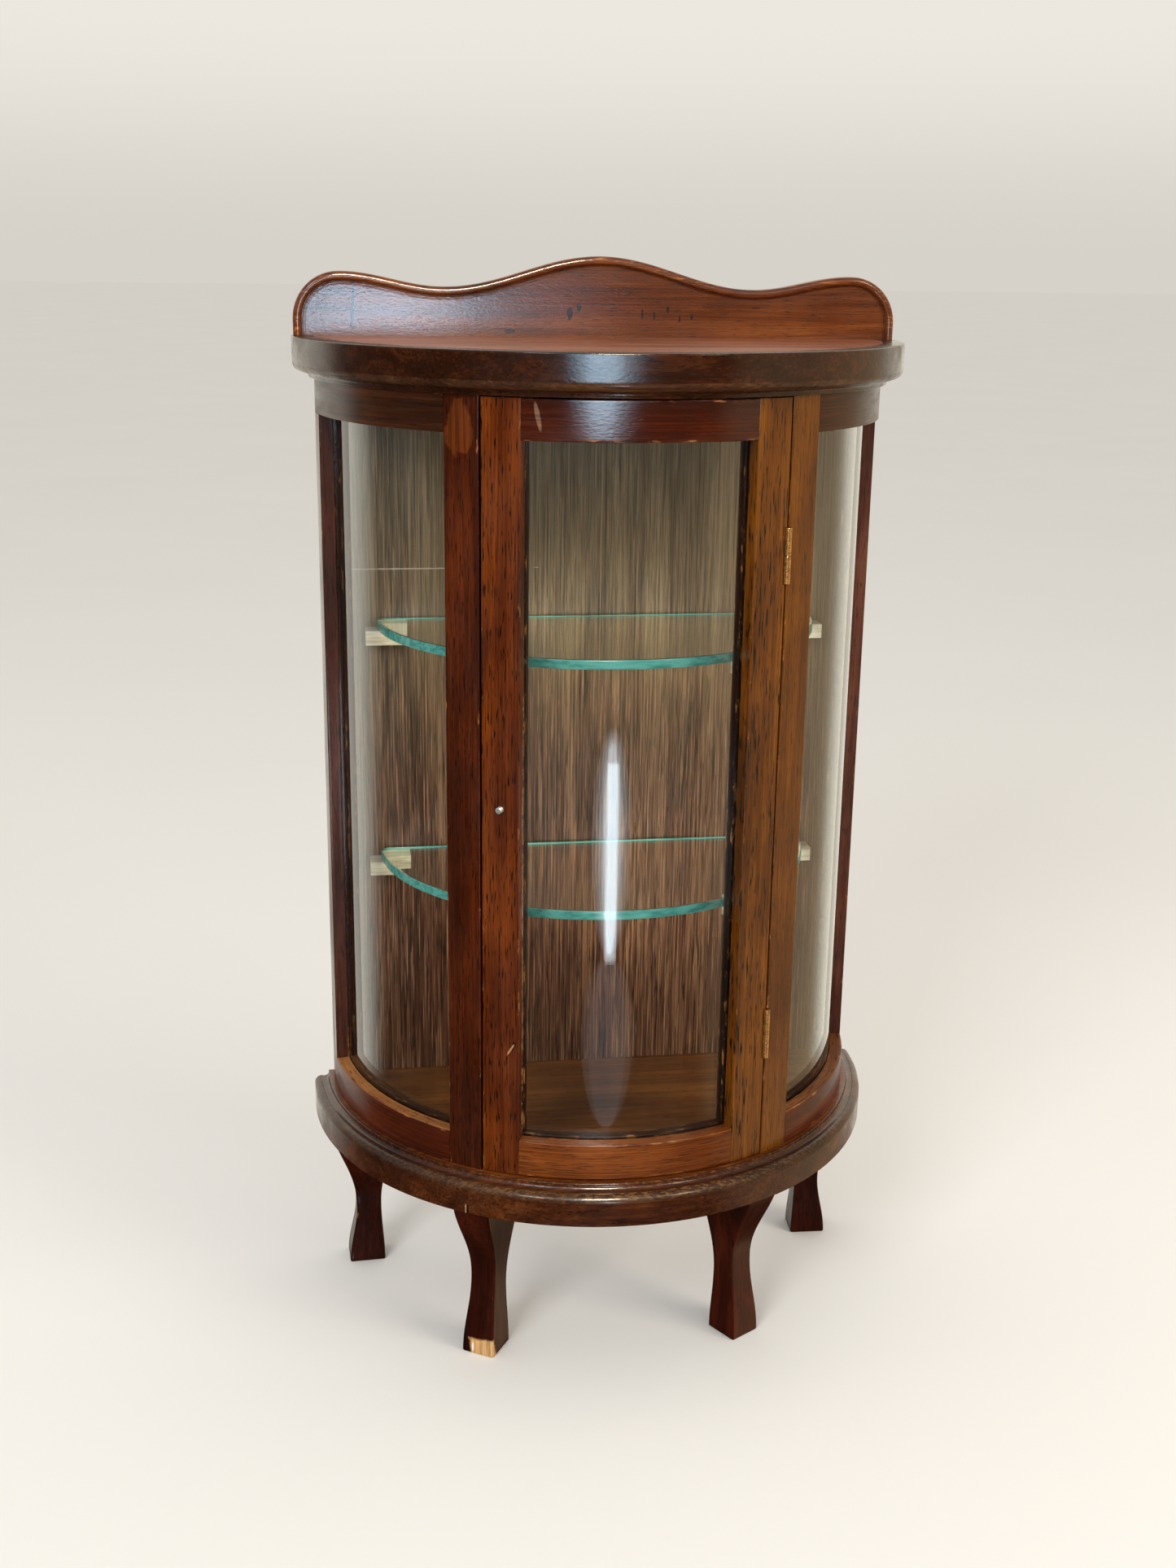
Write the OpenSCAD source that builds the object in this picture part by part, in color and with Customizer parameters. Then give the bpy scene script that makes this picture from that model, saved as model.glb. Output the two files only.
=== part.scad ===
// Half-round tabletop curio cabinet: one bowed glass door, bowed glass sides, two glass shelves.
// Frame: millimetres, +Z up, front towards -Y, feet on z = 0, origin under the middle of the box.
// Inside the modules the plan is drawn about the centre of its arcs; placed() moves it to the frame.
// Angles in the plan are measured from straight ahead, positive to the right.

/* [Overall] */
// Radius of the moulded edge of the top and base boards
deck_r = 200; // [190:1:210]
// Outer radius of the frame and the door
body_r = 186; // [182:1:188]
// How far the rear feet stand out behind the cabinet's flat back
rear_foot_y = 14; // [8:1:20]
// Height of the flat top surface above the feet
top_z = 673; // [640:1:700]

/* [Boards] */
// Thickness of the top and base boards
board_t = 25.5; // [24:0.5:28]
// Height of the flat vertical band of the moulding
fascia_h = 16.5; // [15:0.5:18]
// Radius of the quarter-round below or above that band
ovolo_r = 5; // [4:0.5:6]
// Radius of the last small step of the moulding
lip_r = 190; // [189:0.5:192]

/* [Legs] */
// Height of the legs
leg_h = 128.5; // [110:0.5:140]
// Height of the waist on a front leg's outward face
waist_z = 60; // [50:1:70]
// Distance of the front legs from the centre of the arcs
front_leg_r = 154; // [150:1:158]
// Place of the front legs in the plan, degrees from straight ahead
front_leg_at = 34; // [30:1:38]
// Distance of the left rear leg from the middle plane
rear_leg_left_x = 165; // [160:1:170]
// Distance of the right rear leg from the middle plane
rear_leg_right_x = 173; // [160:1:175]

/* [Frame] */
// Thickness of the show-face part of every frame and door member
face_t = 9; // [8:0.5:10]
// Whole thickness of frame and door, with the part behind the rebate
frame_t = 19; // [18:0.5:21]
// Height of the side rails
side_rail_h = 22.5; // [20:0.5:25]
// Height left behind the rebate of every rail
rebate_rail_h = 10; // [8:0.5:12]
// Edge of the door opening, degrees from straight ahead
opening_a = 30; // [29:0.1:31]
// Outer edge of the fixed stiles, degrees
fixed_stile_a = 37.2; // [36:0.1:39]
// Front edge of the rear posts, degrees
post_a = 81; // [79:0.1:82]

/* [Door] */
// Gap between the door edge and the fixed stile, degrees
door_gap_a = 0.4; // [0.4:0.05:0.6]
// Inner edge of the door stiles, degrees from straight ahead
door_stile_a = 22; // [21:0.1:24]
// Height of the door rails
door_rail_h = 24; // [22:0.5:26]
// Gap above and below the door
door_gap_z = 1; // [0.8:0.1:1.5]

/* [Glass] */
// Thickness of the bent window glass
pane_t = 3; // [2.5:0.1:3]
// Thickness of the shelf glass
shelf_t = 6; // [5:0.5:8]
// Radius of the shelves
shelf_r = 150; // [145:1:152]
// Top face of the lower shelf
lower_shelf_z = 325; // [300:1:350]
// Top face of the upper shelf
upper_shelf_z = 488; // [450:1:520]

/* [Hinges] */
// Height of one hinge
hinge_h = 34; // [30:1:38]
// Middle height of the lower hinge
lower_hinge_z = 241; // [220:1:260]
// Middle height of the upper hinge
upper_hinge_z = 553; // [530:1:570]
// Radius of the hinge pin
pin_r = 1; // [0.8:0.1:1.2]

/* [Crest] */
// Height of the hump in the middle
crest_mid_h = 51; // [45:1:55]
// Height of the valleys beside it
crest_valley_h = 31; // [28:1:34]
// Height of the lobes at the ends
crest_lobe_h = 40; // [36:1:42]
// Half the width of the crest
crest_half_w = 198.5; // [190:0.5:199]
// Width of the raised border
border_w = 6; // [4:0.5:8]

/* [Hidden] */
$fn = 96;

LEFT = -1;
RIGHT = 1;
fit = 0.2;                                  // play between parts that are let into each other
eps = 0.01;

back_y = 0;                                 // the flat back runs through the centre of the arcs
centre_y = (deck_r - rear_foot_y) / 2;      // from the centre of the arcs to the frame's origin
base_z0 = leg_h;                            // underside of the base board
floor_z = base_z0 + board_t;                // interior floor
roof_z = top_z - board_t;                   // underside of the top board

face_r = body_r - face_t;                   // back of the show-face part, where the rebate starts
inner_r = body_r - frame_t;                 // inside of frame and door
pane_r = face_r - fit;                      // outside of the bent glass
strip_r = pane_r - pane_t - fit;            // outside of the glass strips
panel_t = 4.5;
panel_y = back_y - panel_t;                 // front of the back panel
rebate_a = 34.2;                            // where the fixed stile's rebate starts
joint_gap_a = 0.1;                          // play where one member butts against another
side_glass_a0 = rebate_a + 2 * joint_gap_a;
side_glass_a1 = 85;
rear_strip_a = post_a + 1.2;
tongue_a0 = side_glass_a1 + 2 * joint_gap_a; // part of the posts and rails in front of the back panel
tongue_a1 = 88.2;
sight_z0 = floor_z + side_rail_h;           // clear height of the side glass
sight_z1 = roof_z - side_rail_h;
glass_z0 = floor_z + rebate_rail_h;         // height of its rebate
glass_z1 = roof_z - rebate_rail_h;

door_a = opening_a - door_gap_a;            // edge of the door
door_z0 = floor_z + door_gap_z;
door_z1 = roof_z - door_gap_z;
door_rebate_a = 23.6;                       // where the door stile's rebate starts
door_rebate_h = 19;                         // height left behind the rebate of the door rails
door_glass_a = door_rebate_a - 2 * joint_gap_a;

pin_a = opening_a - door_gap_a / 2;
pin_circle_r = body_r + 0.6;                // the pin's axis lies just proud of the door face
barrel_r = 2.1;
scallop_r = 2.5;
leaf_x0 = 0.15;
leaf_t = 1;
leaf_w = 15;
leaf_root = 0.8;                            // how far a leaf reaches into its knuckle
hinge_screw_y = 8.5;
hinge_screw_dz = 11;
screw_r = 1;
screw_head_r = 2;
screw_l = 11;
knuckle_gap = 0.3;
pin_play = 0.06;

knob_a = -25.8;
knob_z = (door_z0 + door_z1) / 2;
knob_screw_r = 2;
knob_screw_out = 4;
knob_shank_r = 2.2;
knob_head_r = 4;
knob_head_t = 2.4;
catch_a = -18;
catch_w = 20;
catch_h = 12;
catch_d = 14;
catch_gap = 0.4;                            // between the catch and its strike plate
strike_w = 16;
strike_h = 10;
strike_t = 0.8;
strike_gap = 0.3;                           // between the strike plate and the frame's inner circle
strike_back_r = inner_r - strike_gap;
catch_face_r = strike_back_r - strike_t - catch_gap;

dowel_r = 5;
leg_dowel_down = 20;
leg_dowel_up = 16;
crest_dowel_r = 3;
crest_dowel_l = 12;
crest_dowel_xs = [-140, 0, 140];
stile_dowel_r = 4;
stile_dowel_at = 176;
stile_dowel_a = 32;
stile_dowel_in = 15;
stile_dowel_out = 10;

tack_x = (inner_r + face_r) / 2;
tack_inset = 12;                            // of the end tacks from floor and roof
tack_pitch = (roof_z - floor_z - 2 * tack_inset) / 4;
tack_zs = [for (i = [0 : 4]) floor_z + tack_inset + i * tack_pitch];
tack_r = 0.7;
tack_head_r = 2.6;
tack_head_t = 1;
tack_l = 9;

cleat_h = 10;
shelf_lift_gap = 0.2;
shelf_back_y = panel_y - 1.5;
shelf_corner_r = 8;
rear_cleat_x = 129;
rear_cleat_w = 28;
rear_cleat_d = 15;
front_cleat_a = 32.2;
front_cleat_w = 10;
front_cleat_d = 28;

crest_y0 = -11;                             // front of the raised border
crest_face_y = -8;                          // front of the recessed field
crest_valley_x = 102;
crest_lobe_x = 168;
crest_corner_r = 30;
housing_d = 0.5;                            // the crest stands this deep in the top board

front_leg_turn = 32;
rear_leg_turn = 87;
rear_leg_y = -8;                            // axis of a rear leg's dowel
leg_steps = 26;                             // levels of a leg's S-shaped outlines
leg_blank_l = 80;                           // length of the outlines' prisms, longer than a leg is wide

// Faces of a leg: [height of the waist, distance from the axis at the waist, at the top, at the foot].
front_leg_faces = [
    [waist_z, 7, 28, 12.5],                 // outward
    [45, 11, 25, 12.5],                     // inward
    [55, 9.2, 12.5, 13.2],                  // flank away from the middle of the front
    [50, 9.2, 14.5, 10.5]                   // flank towards it
];
rear_heel = 13;                             // inward distance at a rear foot
rear_reach = (rear_foot_y - rear_leg_y - rear_heel * cos(rear_leg_turn)) / sin(rear_leg_turn);
rear_leg_faces = [
    [45, 7, 26, 13],                        // outward
    [45, 11, 25, rear_heel],                // inward
    [50, 17, 7.5, rear_reach],              // back
    [50, -3, 16, 0.5]                       // front
];

wood = "#5b2310";
dark_wood = "#43180c";
ply = "#6d5647";
pale_wood = "#cdb89a";
glass_tint = [0.75, 0.85, 0.8, 0.35];
shelf_tint = [0.45, 0.75, 0.66, 0.45];
brass_tint = "#b58f45";
steel_tint = "#b9bcc0";
black_plastic = "#2a2a2c";

// ---- placing ----
module placed() translate([0, centre_y, 0]) children();

module on_side(side) placed() mirror([side == LEFT ? 1 : 0, 0, 0]) children();

// Local axes at plan angle a: -Y points outward from the centre of the arcs, X along the arc.
module at_angle(a) rotate([0, 0, a]) children();

// ---- bent members ----
// Ring sector swept from plan angle a to plan angle b; members with a common edge start from it.
module ring(r0, r1, a, b, z0, z1)
    rotate([0, 0, a - 90]) mirror([0, b < a ? 1 : 0, 0])
        rotate_extrude(angle = abs(b - a))
            translate([r0, z0]) square([r1 - r0, z1 - z0]);

// ---- boards ----
// Half section of a board lying on its plain face, x outward from the centre of the arcs.
module board_section() {
    cove_r = board_t - fascia_h - ovolo_r - 1;
    shoulder_r = deck_r - ovolo_r;
    square([deck_r, fascia_h]);
    square([shoulder_r, fascia_h + ovolo_r]);
    translate([shoulder_r, fascia_h]) intersection() {
        circle(r = ovolo_r);
        square(ovolo_r);
    }
    square([lip_r, board_t]);
    translate([lip_r, fascia_h + ovolo_r]) difference() {
        square(cove_r);
        translate([cove_r, cove_r]) circle(r = cove_r);
    }
}

module half_round_board() rotate([0, 0, 180]) rotate_extrude(angle = 180) board_section();

module top_board() color(wood) placed() difference() {
    translate([0, 0, top_z]) mirror([0, 0, 1]) half_round_board();
    translate([-crest_half_w - fit, crest_y0 - fit, top_z - housing_d])
        cube([2 * (crest_half_w + fit), back_y - crest_y0 + 2 * fit, 2 * housing_d]);
    crest_dowel_set();
    stile_dowel_set();
}

module base_board() color(wood) placed() difference() {
    translate([0, 0, base_z0]) half_round_board();
    leg_dowel_set();
    stile_dowel_set();
}

// ---- crest ----
function ease(t) = (1 - cos(180 * t)) / 2;

function crest_h(x) = x < crest_valley_x
    ? crest_mid_h + (crest_valley_h - crest_mid_h) * ease(x / crest_valley_x)
    : crest_valley_h + (crest_lobe_h - crest_valley_h) * ease((x - crest_valley_x) / (crest_lobe_x - crest_valley_x));

// Right half of the outline, set in by a margin except at the foot: wave, then the rounded end.
function crest_half(margin) = concat(
    [for (x = [0 : 3 : crest_lobe_x]) [x, crest_h(x) - margin]],
    [for (a = [90 : -7.5 : 0])
        [crest_half_w - crest_corner_r + (crest_corner_r - margin) * cos(a),
         crest_lobe_h - crest_corner_r + (crest_corner_r - margin) * sin(a)]],
    [[crest_half_w - margin, crest_foot_z(margin)], [0, crest_foot_z(margin)]]
);
function crest_foot_z(margin) = margin > 0 ? -2 * housing_d : -housing_d;

module crest_outline(margin) {
    polygon(crest_half(margin));
    mirror([1, 0]) polygon(crest_half(margin));
}

module crest_board() color(wood) placed() difference() {
    translate([0, back_y, top_z]) rotate([90, 0, 0]) union() {
        linear_extrude(back_y - crest_face_y) crest_outline(0);
        linear_extrude(back_y - crest_y0) difference() {
            crest_outline(0);
            crest_outline(border_w);
        }
    }
    crest_dowel_set();
}

// ---- legs ----
// Distance of one face from the leg's axis at height z: waist, then an S to the top and to the foot.
function leg_edge(z, low_z, waist, top, foot) = z >= low_z
    ? waist + (top - waist) * ease((z - low_z) / (leg_h - low_z))
    : waist + (foot - waist) * ease((low_z - z) / low_z);

leg_levels = [for (i = [0 : leg_steps]) leg_h * i / leg_steps];
function leg_line(face, way) = [for (z = leg_levels) [way * leg_edge(z, face[0], face[1], face[2], face[3]), z]];
function backwards(list) = [for (i = [len(list) - 1 : -1 : 0]) list[i]];

module leg_outline(right, left) linear_extrude(leg_blank_l, center = true)
    polygon(concat(leg_line(right, 1), backwards(leg_line(left, -1))));

// Leg on its axis: outward face towards -Y, first flank towards +X.
module leg_blank(faces) intersection() {
    rotate([90, 0, -90]) leg_outline(faces[0], faces[1]);
    rotate([90, 0, 0]) leg_outline(faces[2], faces[3]);
}

module front_leg_place() at_angle(front_leg_at) translate([0, -front_leg_r, 0])
    at_angle(front_leg_turn - front_leg_at) children();

module rear_leg_place(side) translate([side == LEFT ? rear_leg_left_x : rear_leg_right_x, rear_leg_y, 0])
    at_angle(rear_leg_turn) children();

module leg_dowel() translate([0, 0, leg_h - leg_dowel_down])
    cylinder(r = dowel_r, h = leg_dowel_down + leg_dowel_up);

module front_leg(side) color(wood) on_side(side) difference() {
    front_leg_place() leg_blank(front_leg_faces);
    front_leg_place() leg_dowel();
}

module rear_leg(side) color(wood) on_side(side) difference() {
    rear_leg_place(side) leg_blank(rear_leg_faces);
    rear_leg_place(side) leg_dowel();
}

// ---- dowels ----
module leg_dowel_set() for (side = [LEFT, RIGHT]) mirror([side == LEFT ? 1 : 0, 0, 0]) {
    front_leg_place() leg_dowel();
    rear_leg_place(side) leg_dowel();
}

module crest_dowel_set() for (x = crest_dowel_xs)
    translate([x, (crest_face_y + back_y) / 2, top_z - crest_dowel_l])
        cylinder(r = crest_dowel_r, h = 2 * crest_dowel_l);

module stile_dowel(z0) translate([0, -stile_dowel_at, z0])
    cylinder(r = stile_dowel_r, h = stile_dowel_in + stile_dowel_out);

module stile_dowel_set() for (a = [-stile_dowel_a, stile_dowel_a]) at_angle(a) {
    stile_dowel(floor_z - stile_dowel_out);
    stile_dowel(roof_z - stile_dowel_in);
}

module leg_dowels() color(pale_wood) placed() leg_dowel_set();
module crest_dowels() color(pale_wood) placed() crest_dowel_set();
module stile_dowels() color(pale_wood) placed() stile_dowel_set();

// ---- fixed frame ----
module fixed_stile(side) color(wood) placed() difference() {
    mirror([side == LEFT ? 1 : 0, 0, 0]) {
        ring(face_r, body_r, opening_a, fixed_stile_a, floor_z, roof_z);
        ring(inner_r, face_r, opening_a, rebate_a, floor_z, roof_z);
    }
    stile_dowel_set();
    if (side == RIGHT) {
        hinge_recesses(RIGHT);
        hinge_screw_set(RIGHT);
    }
}

module rear_post(side) color(wood) on_side(side) difference() {
    union() {
        ring(face_r, body_r, 90, post_a, sight_z0, sight_z1);
        ring(inner_r, face_r, tongue_a1, tongue_a0, sight_z0, sight_z1);
    }
    tack_set();
}

// Side rail standing on z = 0, with its rebate on the upper side.
module side_rail() {
    ring(face_r, body_r, 90, fixed_stile_a, 0, side_rail_h);
    ring(inner_r, face_r, tongue_a1, rebate_a + joint_gap_a, 0, rebate_rail_h);
    ring(inner_r, face_r, tongue_a1, tongue_a0, 0, side_rail_h);
}

module side_bottom_rail(side) color(wood) on_side(side) difference() {
    translate([0, 0, floor_z]) side_rail();
    tack_set();
}

module side_top_rail(side) color(wood) on_side(side) difference() {
    translate([0, 0, roof_z]) mirror([0, 0, 1]) side_rail();
    tack_set();
}

module back_panel() color(ply) placed() difference() {
    translate([-face_r + fit, panel_y, floor_z + fit])
        cube([2 * (face_r - fit), panel_t, roof_z - floor_z - 2 * fit]);
    for (side = [0, 1]) mirror([side, 0, 0]) tack_set();
}

// Tacks on the right-hand side, heads level with the panel's back.
module tack_set() for (z = tack_zs) translate([tack_x, back_y, z]) rotate([90, 0, 0]) {
    cylinder(r = tack_r, h = tack_l);
    cylinder(r = tack_head_r, h = tack_head_t);
}

module back_panel_tacks() color(steel_tint) placed() for (side = [0, 1]) mirror([side, 0, 0]) tack_set();

// ---- side glass and its strips ----
module side_glass(side) color(glass_tint) on_side(side)
    ring(pane_r - pane_t, pane_r, side_glass_a0, side_glass_a1, glass_z0 + fit, glass_z1 - fit);

module glass_strip_bottom(side) color(dark_wood) on_side(side)
    ring(inner_r, strip_r, side_glass_a0, side_glass_a1, glass_z0, sight_z0);

module glass_strip_top(side) color(dark_wood) on_side(side)
    ring(inner_r, strip_r, side_glass_a0, side_glass_a1, sight_z1, glass_z1);

module glass_strip_front(side) color(dark_wood) on_side(side)
    ring(inner_r, strip_r, side_glass_a0, fixed_stile_a, sight_z0 + fit, sight_z1 - fit);

module glass_strip_rear(side) color(dark_wood) on_side(side)
    ring(inner_r, strip_r, rear_strip_a, side_glass_a1, sight_z0 + fit, sight_z1 - fit);

// ---- door ----
module door_stile(side) color(wood) placed() difference() {
    mirror([side == LEFT ? 1 : 0, 0, 0]) {
        ring(face_r, body_r, door_a, door_stile_a, door_z0, door_z1);
        ring(inner_r, face_r, door_a, door_rebate_a, door_z0, door_z1);
    }
    if (side == LEFT) knob_screw_shape();
    if (side == RIGHT) {
        hinge_recesses(LEFT);
        hinge_screw_set(LEFT);
    }
}

module door_bottom_rail() color(wood) placed() {
    ring(face_r, body_r, -door_stile_a, door_stile_a, door_z0, door_z0 + door_rail_h);
    ring(inner_r, face_r, -door_glass_a, door_glass_a, door_z0, door_z0 + door_rebate_h);
}

module door_top_rail() color(wood) placed() {
    ring(face_r, body_r, -door_stile_a, door_stile_a, door_z1 - door_rail_h, door_z1);
    ring(inner_r, face_r, -door_glass_a, door_glass_a, door_z1 - door_rebate_h, door_z1);
}

module door_glass() color(glass_tint) placed()
    ring(pane_r - pane_t, pane_r, -door_glass_a, door_glass_a,
         door_z0 + door_rebate_h + fit, door_z1 - door_rebate_h - fit);

module door_strip_bottom() color(dark_wood) placed()
    ring(inner_r, strip_r, -door_glass_a, door_glass_a, door_z0 + door_rebate_h, door_z0 + door_rail_h);

module door_strip_top() color(dark_wood) placed()
    ring(inner_r, strip_r, -door_glass_a, door_glass_a, door_z1 - door_rail_h, door_z1 - door_rebate_h);

module door_strip(side) color(dark_wood) on_side(side)
    ring(inner_r, strip_r, door_stile_a, door_glass_a,
         door_z0 + door_rail_h + fit, door_z1 - door_rail_h - fit);

// ---- hinges ----
// Axes at the pin: X along the arc towards the fixed stile, Y inward, Z from the hinge's middle.
module at_pin(z) at_angle(pin_a) translate([0, -pin_circle_r, z]) children();

// Room for a leaf on one side of the pin, and for the barrel.
module hinge_recesses(side) for (z = [lower_hinge_z, upper_hinge_z]) at_pin(z) {
    translate([0, 0, -hinge_h / 2 - knuckle_gap]) cylinder(r = scallop_r, h = hinge_h + 2 * knuckle_gap);
    mirror([side == LEFT ? 1 : 0, 0, 0])
        translate([-leaf_t, 0, -hinge_h / 2]) cube([leaf_x0 + 2 * leaf_t, leaf_w, hinge_h]);
}

// One screw, its flat head level with the leaf, pointing along +X.
module hinge_screw() rotate([0, 90, 0]) {
    translate([0, 0, leaf_x0]) cylinder(r1 = screw_head_r, r2 = screw_r, h = leaf_t);
    translate([0, 0, leaf_x0 + leaf_t - eps]) cylinder(r = screw_r, h = screw_l - leaf_t);
}

module hinge_screw_pair(side) mirror([side == LEFT ? 1 : 0, 0, 0])
    for (dz = [-hinge_screw_dz, hinge_screw_dz]) translate([0, hinge_screw_y, dz]) hinge_screw();

module hinge_screw_set(side) for (z = [lower_hinge_z, upper_hinge_z]) at_pin(z) hinge_screw_pair(side);

// Leaf with its knuckle: level is 0 for the lower knuckle (frame) and 1 for the upper one (door).
module hinge_leaf(side, level, bore_r) {
    knuckle_h = (hinge_h - knuckle_gap) / 2;
    own_z = level == 0 ? -hinge_h / 2 : hinge_h / 2 - knuckle_h;
    other_z = level == 0 ? 0 : -hinge_h;
    leaf_y0 = barrel_r - leaf_root;
    difference() {
        union() {
            translate([0, 0, own_z]) cylinder(r = barrel_r, h = knuckle_h);
            mirror([side == LEFT ? 1 : 0, 0, 0]) difference() {
                translate([leaf_x0, leaf_y0, -hinge_h / 2]) cube([leaf_t, leaf_w - leaf_y0, hinge_h]);
                translate([0, 0, other_z - knuckle_gap / 2])
                    cylinder(r = scallop_r, h = hinge_h + knuckle_gap);
            }
        }
        translate([0, 0, -hinge_h]) cylinder(r = bore_r, h = 2 * hinge_h);
        hinge_screw_pair(side);
    }
}

module frame_leaf(z) color(brass_tint) placed() at_pin(z) hinge_leaf(RIGHT, 0, pin_r);
module door_leaf(z) color(brass_tint) placed() at_pin(z) hinge_leaf(LEFT, 1, pin_r + pin_play);

module hinge_pin(z) color(brass_tint) placed() at_pin(z)
    translate([0, 0, -hinge_h / 2]) cylinder(r = pin_r, h = hinge_h);

module hinge_frame_screws() color(steel_tint) placed() hinge_screw_set(RIGHT);
module hinge_door_screws() color(steel_tint) placed() hinge_screw_set(LEFT);

// ---- knob screw and catch ----
module knob_screw_shape() at_angle(knob_a) translate([0, -inner_r, knob_z]) rotate([90, 0, 0]) {
    cylinder(r = knob_shank_r, h = frame_t);
    cylinder(r = knob_screw_r, h = frame_t + knob_screw_out);
    translate([0, 0, -knob_head_t]) cylinder(r = knob_head_r, h = knob_head_t + fit);
}

module knob_screw() color(steel_tint) placed() knob_screw_shape();

module door_catch() color(black_plastic) placed() at_angle(catch_a)
    translate([-catch_w / 2, -catch_face_r, roof_z - catch_h]) cube([catch_w, catch_d, catch_h]);

module catch_strike_plate() color(steel_tint) placed() at_angle(catch_a)
    translate([-strike_w / 2, -strike_back_r, roof_z - catch_h]) cube([strike_w, strike_t, strike_h]);

// ---- shelves and cleats ----
module shelf_outline() {
    lobe_y = shelf_back_y - shelf_corner_r;
    lobe_x = sqrt(pow(shelf_r - shelf_corner_r, 2) - pow(lobe_y, 2));
    tangent_y = lobe_y * shelf_r / (shelf_r - shelf_corner_r);
    intersection() {
        circle(r = shelf_r, $fn = 180);
        translate([-shelf_r, -shelf_r]) square([2 * shelf_r, shelf_r + tangent_y]);
    }
    translate([-lobe_x, tangent_y - eps]) square([2 * lobe_x, shelf_back_y - tangent_y + eps]);
    for (x = [-lobe_x, lobe_x]) translate([x, lobe_y]) circle(r = shelf_corner_r);
}

module shelf(top) color(shelf_tint) placed() translate([0, 0, top - shelf_t]) linear_extrude(shelf_t) shelf_outline();

module rear_cleats(shelf_top) color(pale_wood) placed() for (side = [0, 1]) mirror([side, 0, 0])
    translate([rear_cleat_x, panel_y - rear_cleat_d, shelf_top - shelf_t - shelf_lift_gap - cleat_h])
        cube([rear_cleat_w, rear_cleat_d, cleat_h]);

module front_cleats(shelf_top) color(pale_wood) placed() for (a = [-front_cleat_a, front_cleat_a]) at_angle(a)
    translate([-front_cleat_w / 2, -(inner_r - fit), shelf_top - shelf_t - shelf_lift_gap - cleat_h])
        cube([front_cleat_w, front_cleat_d, cleat_h]);

top_board();
crest_board();
base_board();
back_panel();
front_leg(LEFT);  // front_leg_left
front_leg(RIGHT);  // front_leg_right
rear_leg(LEFT);  // rear_leg_left
rear_leg(RIGHT);  // rear_leg_right
fixed_stile(LEFT);  // fixed_stile_left
fixed_stile(RIGHT);  // fixed_stile_right
rear_post(LEFT);  // rear_post_left
rear_post(RIGHT);  // rear_post_right
side_top_rail(LEFT);  // side_top_rail_left
side_top_rail(RIGHT);  // side_top_rail_right
side_bottom_rail(LEFT);  // side_bottom_rail_left
side_bottom_rail(RIGHT);  // side_bottom_rail_right
side_glass(LEFT);  // side_glass_left
side_glass(RIGHT);  // side_glass_right
glass_strip_top(LEFT);  // glass_strip_top_left
glass_strip_top(RIGHT);  // glass_strip_top_right
glass_strip_bottom(LEFT);  // glass_strip_bottom_left
glass_strip_bottom(RIGHT);  // glass_strip_bottom_right
glass_strip_front(LEFT);  // glass_strip_front_left
glass_strip_front(RIGHT);  // glass_strip_front_right
glass_strip_rear(LEFT);  // glass_strip_rear_left
glass_strip_rear(RIGHT);  // glass_strip_rear_right
door_stile(LEFT);  // door_stile_left
door_stile(RIGHT);  // door_stile_right
door_top_rail();
door_bottom_rail();
door_glass();
door_strip_top();
door_strip_bottom();
door_strip(LEFT);  // door_strip_left
door_strip(RIGHT);  // door_strip_right
frame_leaf(upper_hinge_z);  // upper_hinge_frame_leaf
door_leaf(upper_hinge_z);  // upper_hinge_door_leaf
hinge_pin(upper_hinge_z);  // upper_hinge_pin
frame_leaf(lower_hinge_z);  // lower_hinge_frame_leaf
door_leaf(lower_hinge_z);  // lower_hinge_door_leaf
hinge_pin(lower_hinge_z);  // lower_hinge_pin
hinge_frame_screws();
hinge_door_screws();
knob_screw();
door_catch();
catch_strike_plate();
shelf(upper_shelf_z);  // upper_shelf
shelf(lower_shelf_z);  // lower_shelf
rear_cleats(upper_shelf_z);  // upper_rear_cleats
rear_cleats(lower_shelf_z);  // lower_rear_cleats
front_cleats(upper_shelf_z);  // upper_front_cleats
front_cleats(lower_shelf_z);  // lower_front_cleats
leg_dowels();
crest_dowels();
stile_dowels();
back_panel_tacks();
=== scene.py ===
"""Looks for the half-round curio cabinet: worked wood, bent glass, brass hinges and two glass shelves."""

import math
import zlib

import bpy
import numpy as np
from mathutils import Matrix, Vector


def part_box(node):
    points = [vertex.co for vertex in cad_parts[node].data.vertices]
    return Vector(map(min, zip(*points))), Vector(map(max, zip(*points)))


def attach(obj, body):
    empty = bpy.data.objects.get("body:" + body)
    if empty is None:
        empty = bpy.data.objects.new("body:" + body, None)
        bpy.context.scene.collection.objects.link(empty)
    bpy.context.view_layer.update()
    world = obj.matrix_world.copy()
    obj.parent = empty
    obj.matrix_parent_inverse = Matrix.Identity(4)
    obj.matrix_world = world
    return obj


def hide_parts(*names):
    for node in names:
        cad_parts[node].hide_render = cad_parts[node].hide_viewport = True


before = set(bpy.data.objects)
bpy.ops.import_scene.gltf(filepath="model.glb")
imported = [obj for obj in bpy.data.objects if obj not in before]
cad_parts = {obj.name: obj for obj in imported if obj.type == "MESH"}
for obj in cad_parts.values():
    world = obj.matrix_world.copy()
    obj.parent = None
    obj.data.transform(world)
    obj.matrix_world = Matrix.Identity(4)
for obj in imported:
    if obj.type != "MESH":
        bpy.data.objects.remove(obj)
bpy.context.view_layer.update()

MM = 0.001
LEFT, RIGHT = -1, 1

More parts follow.
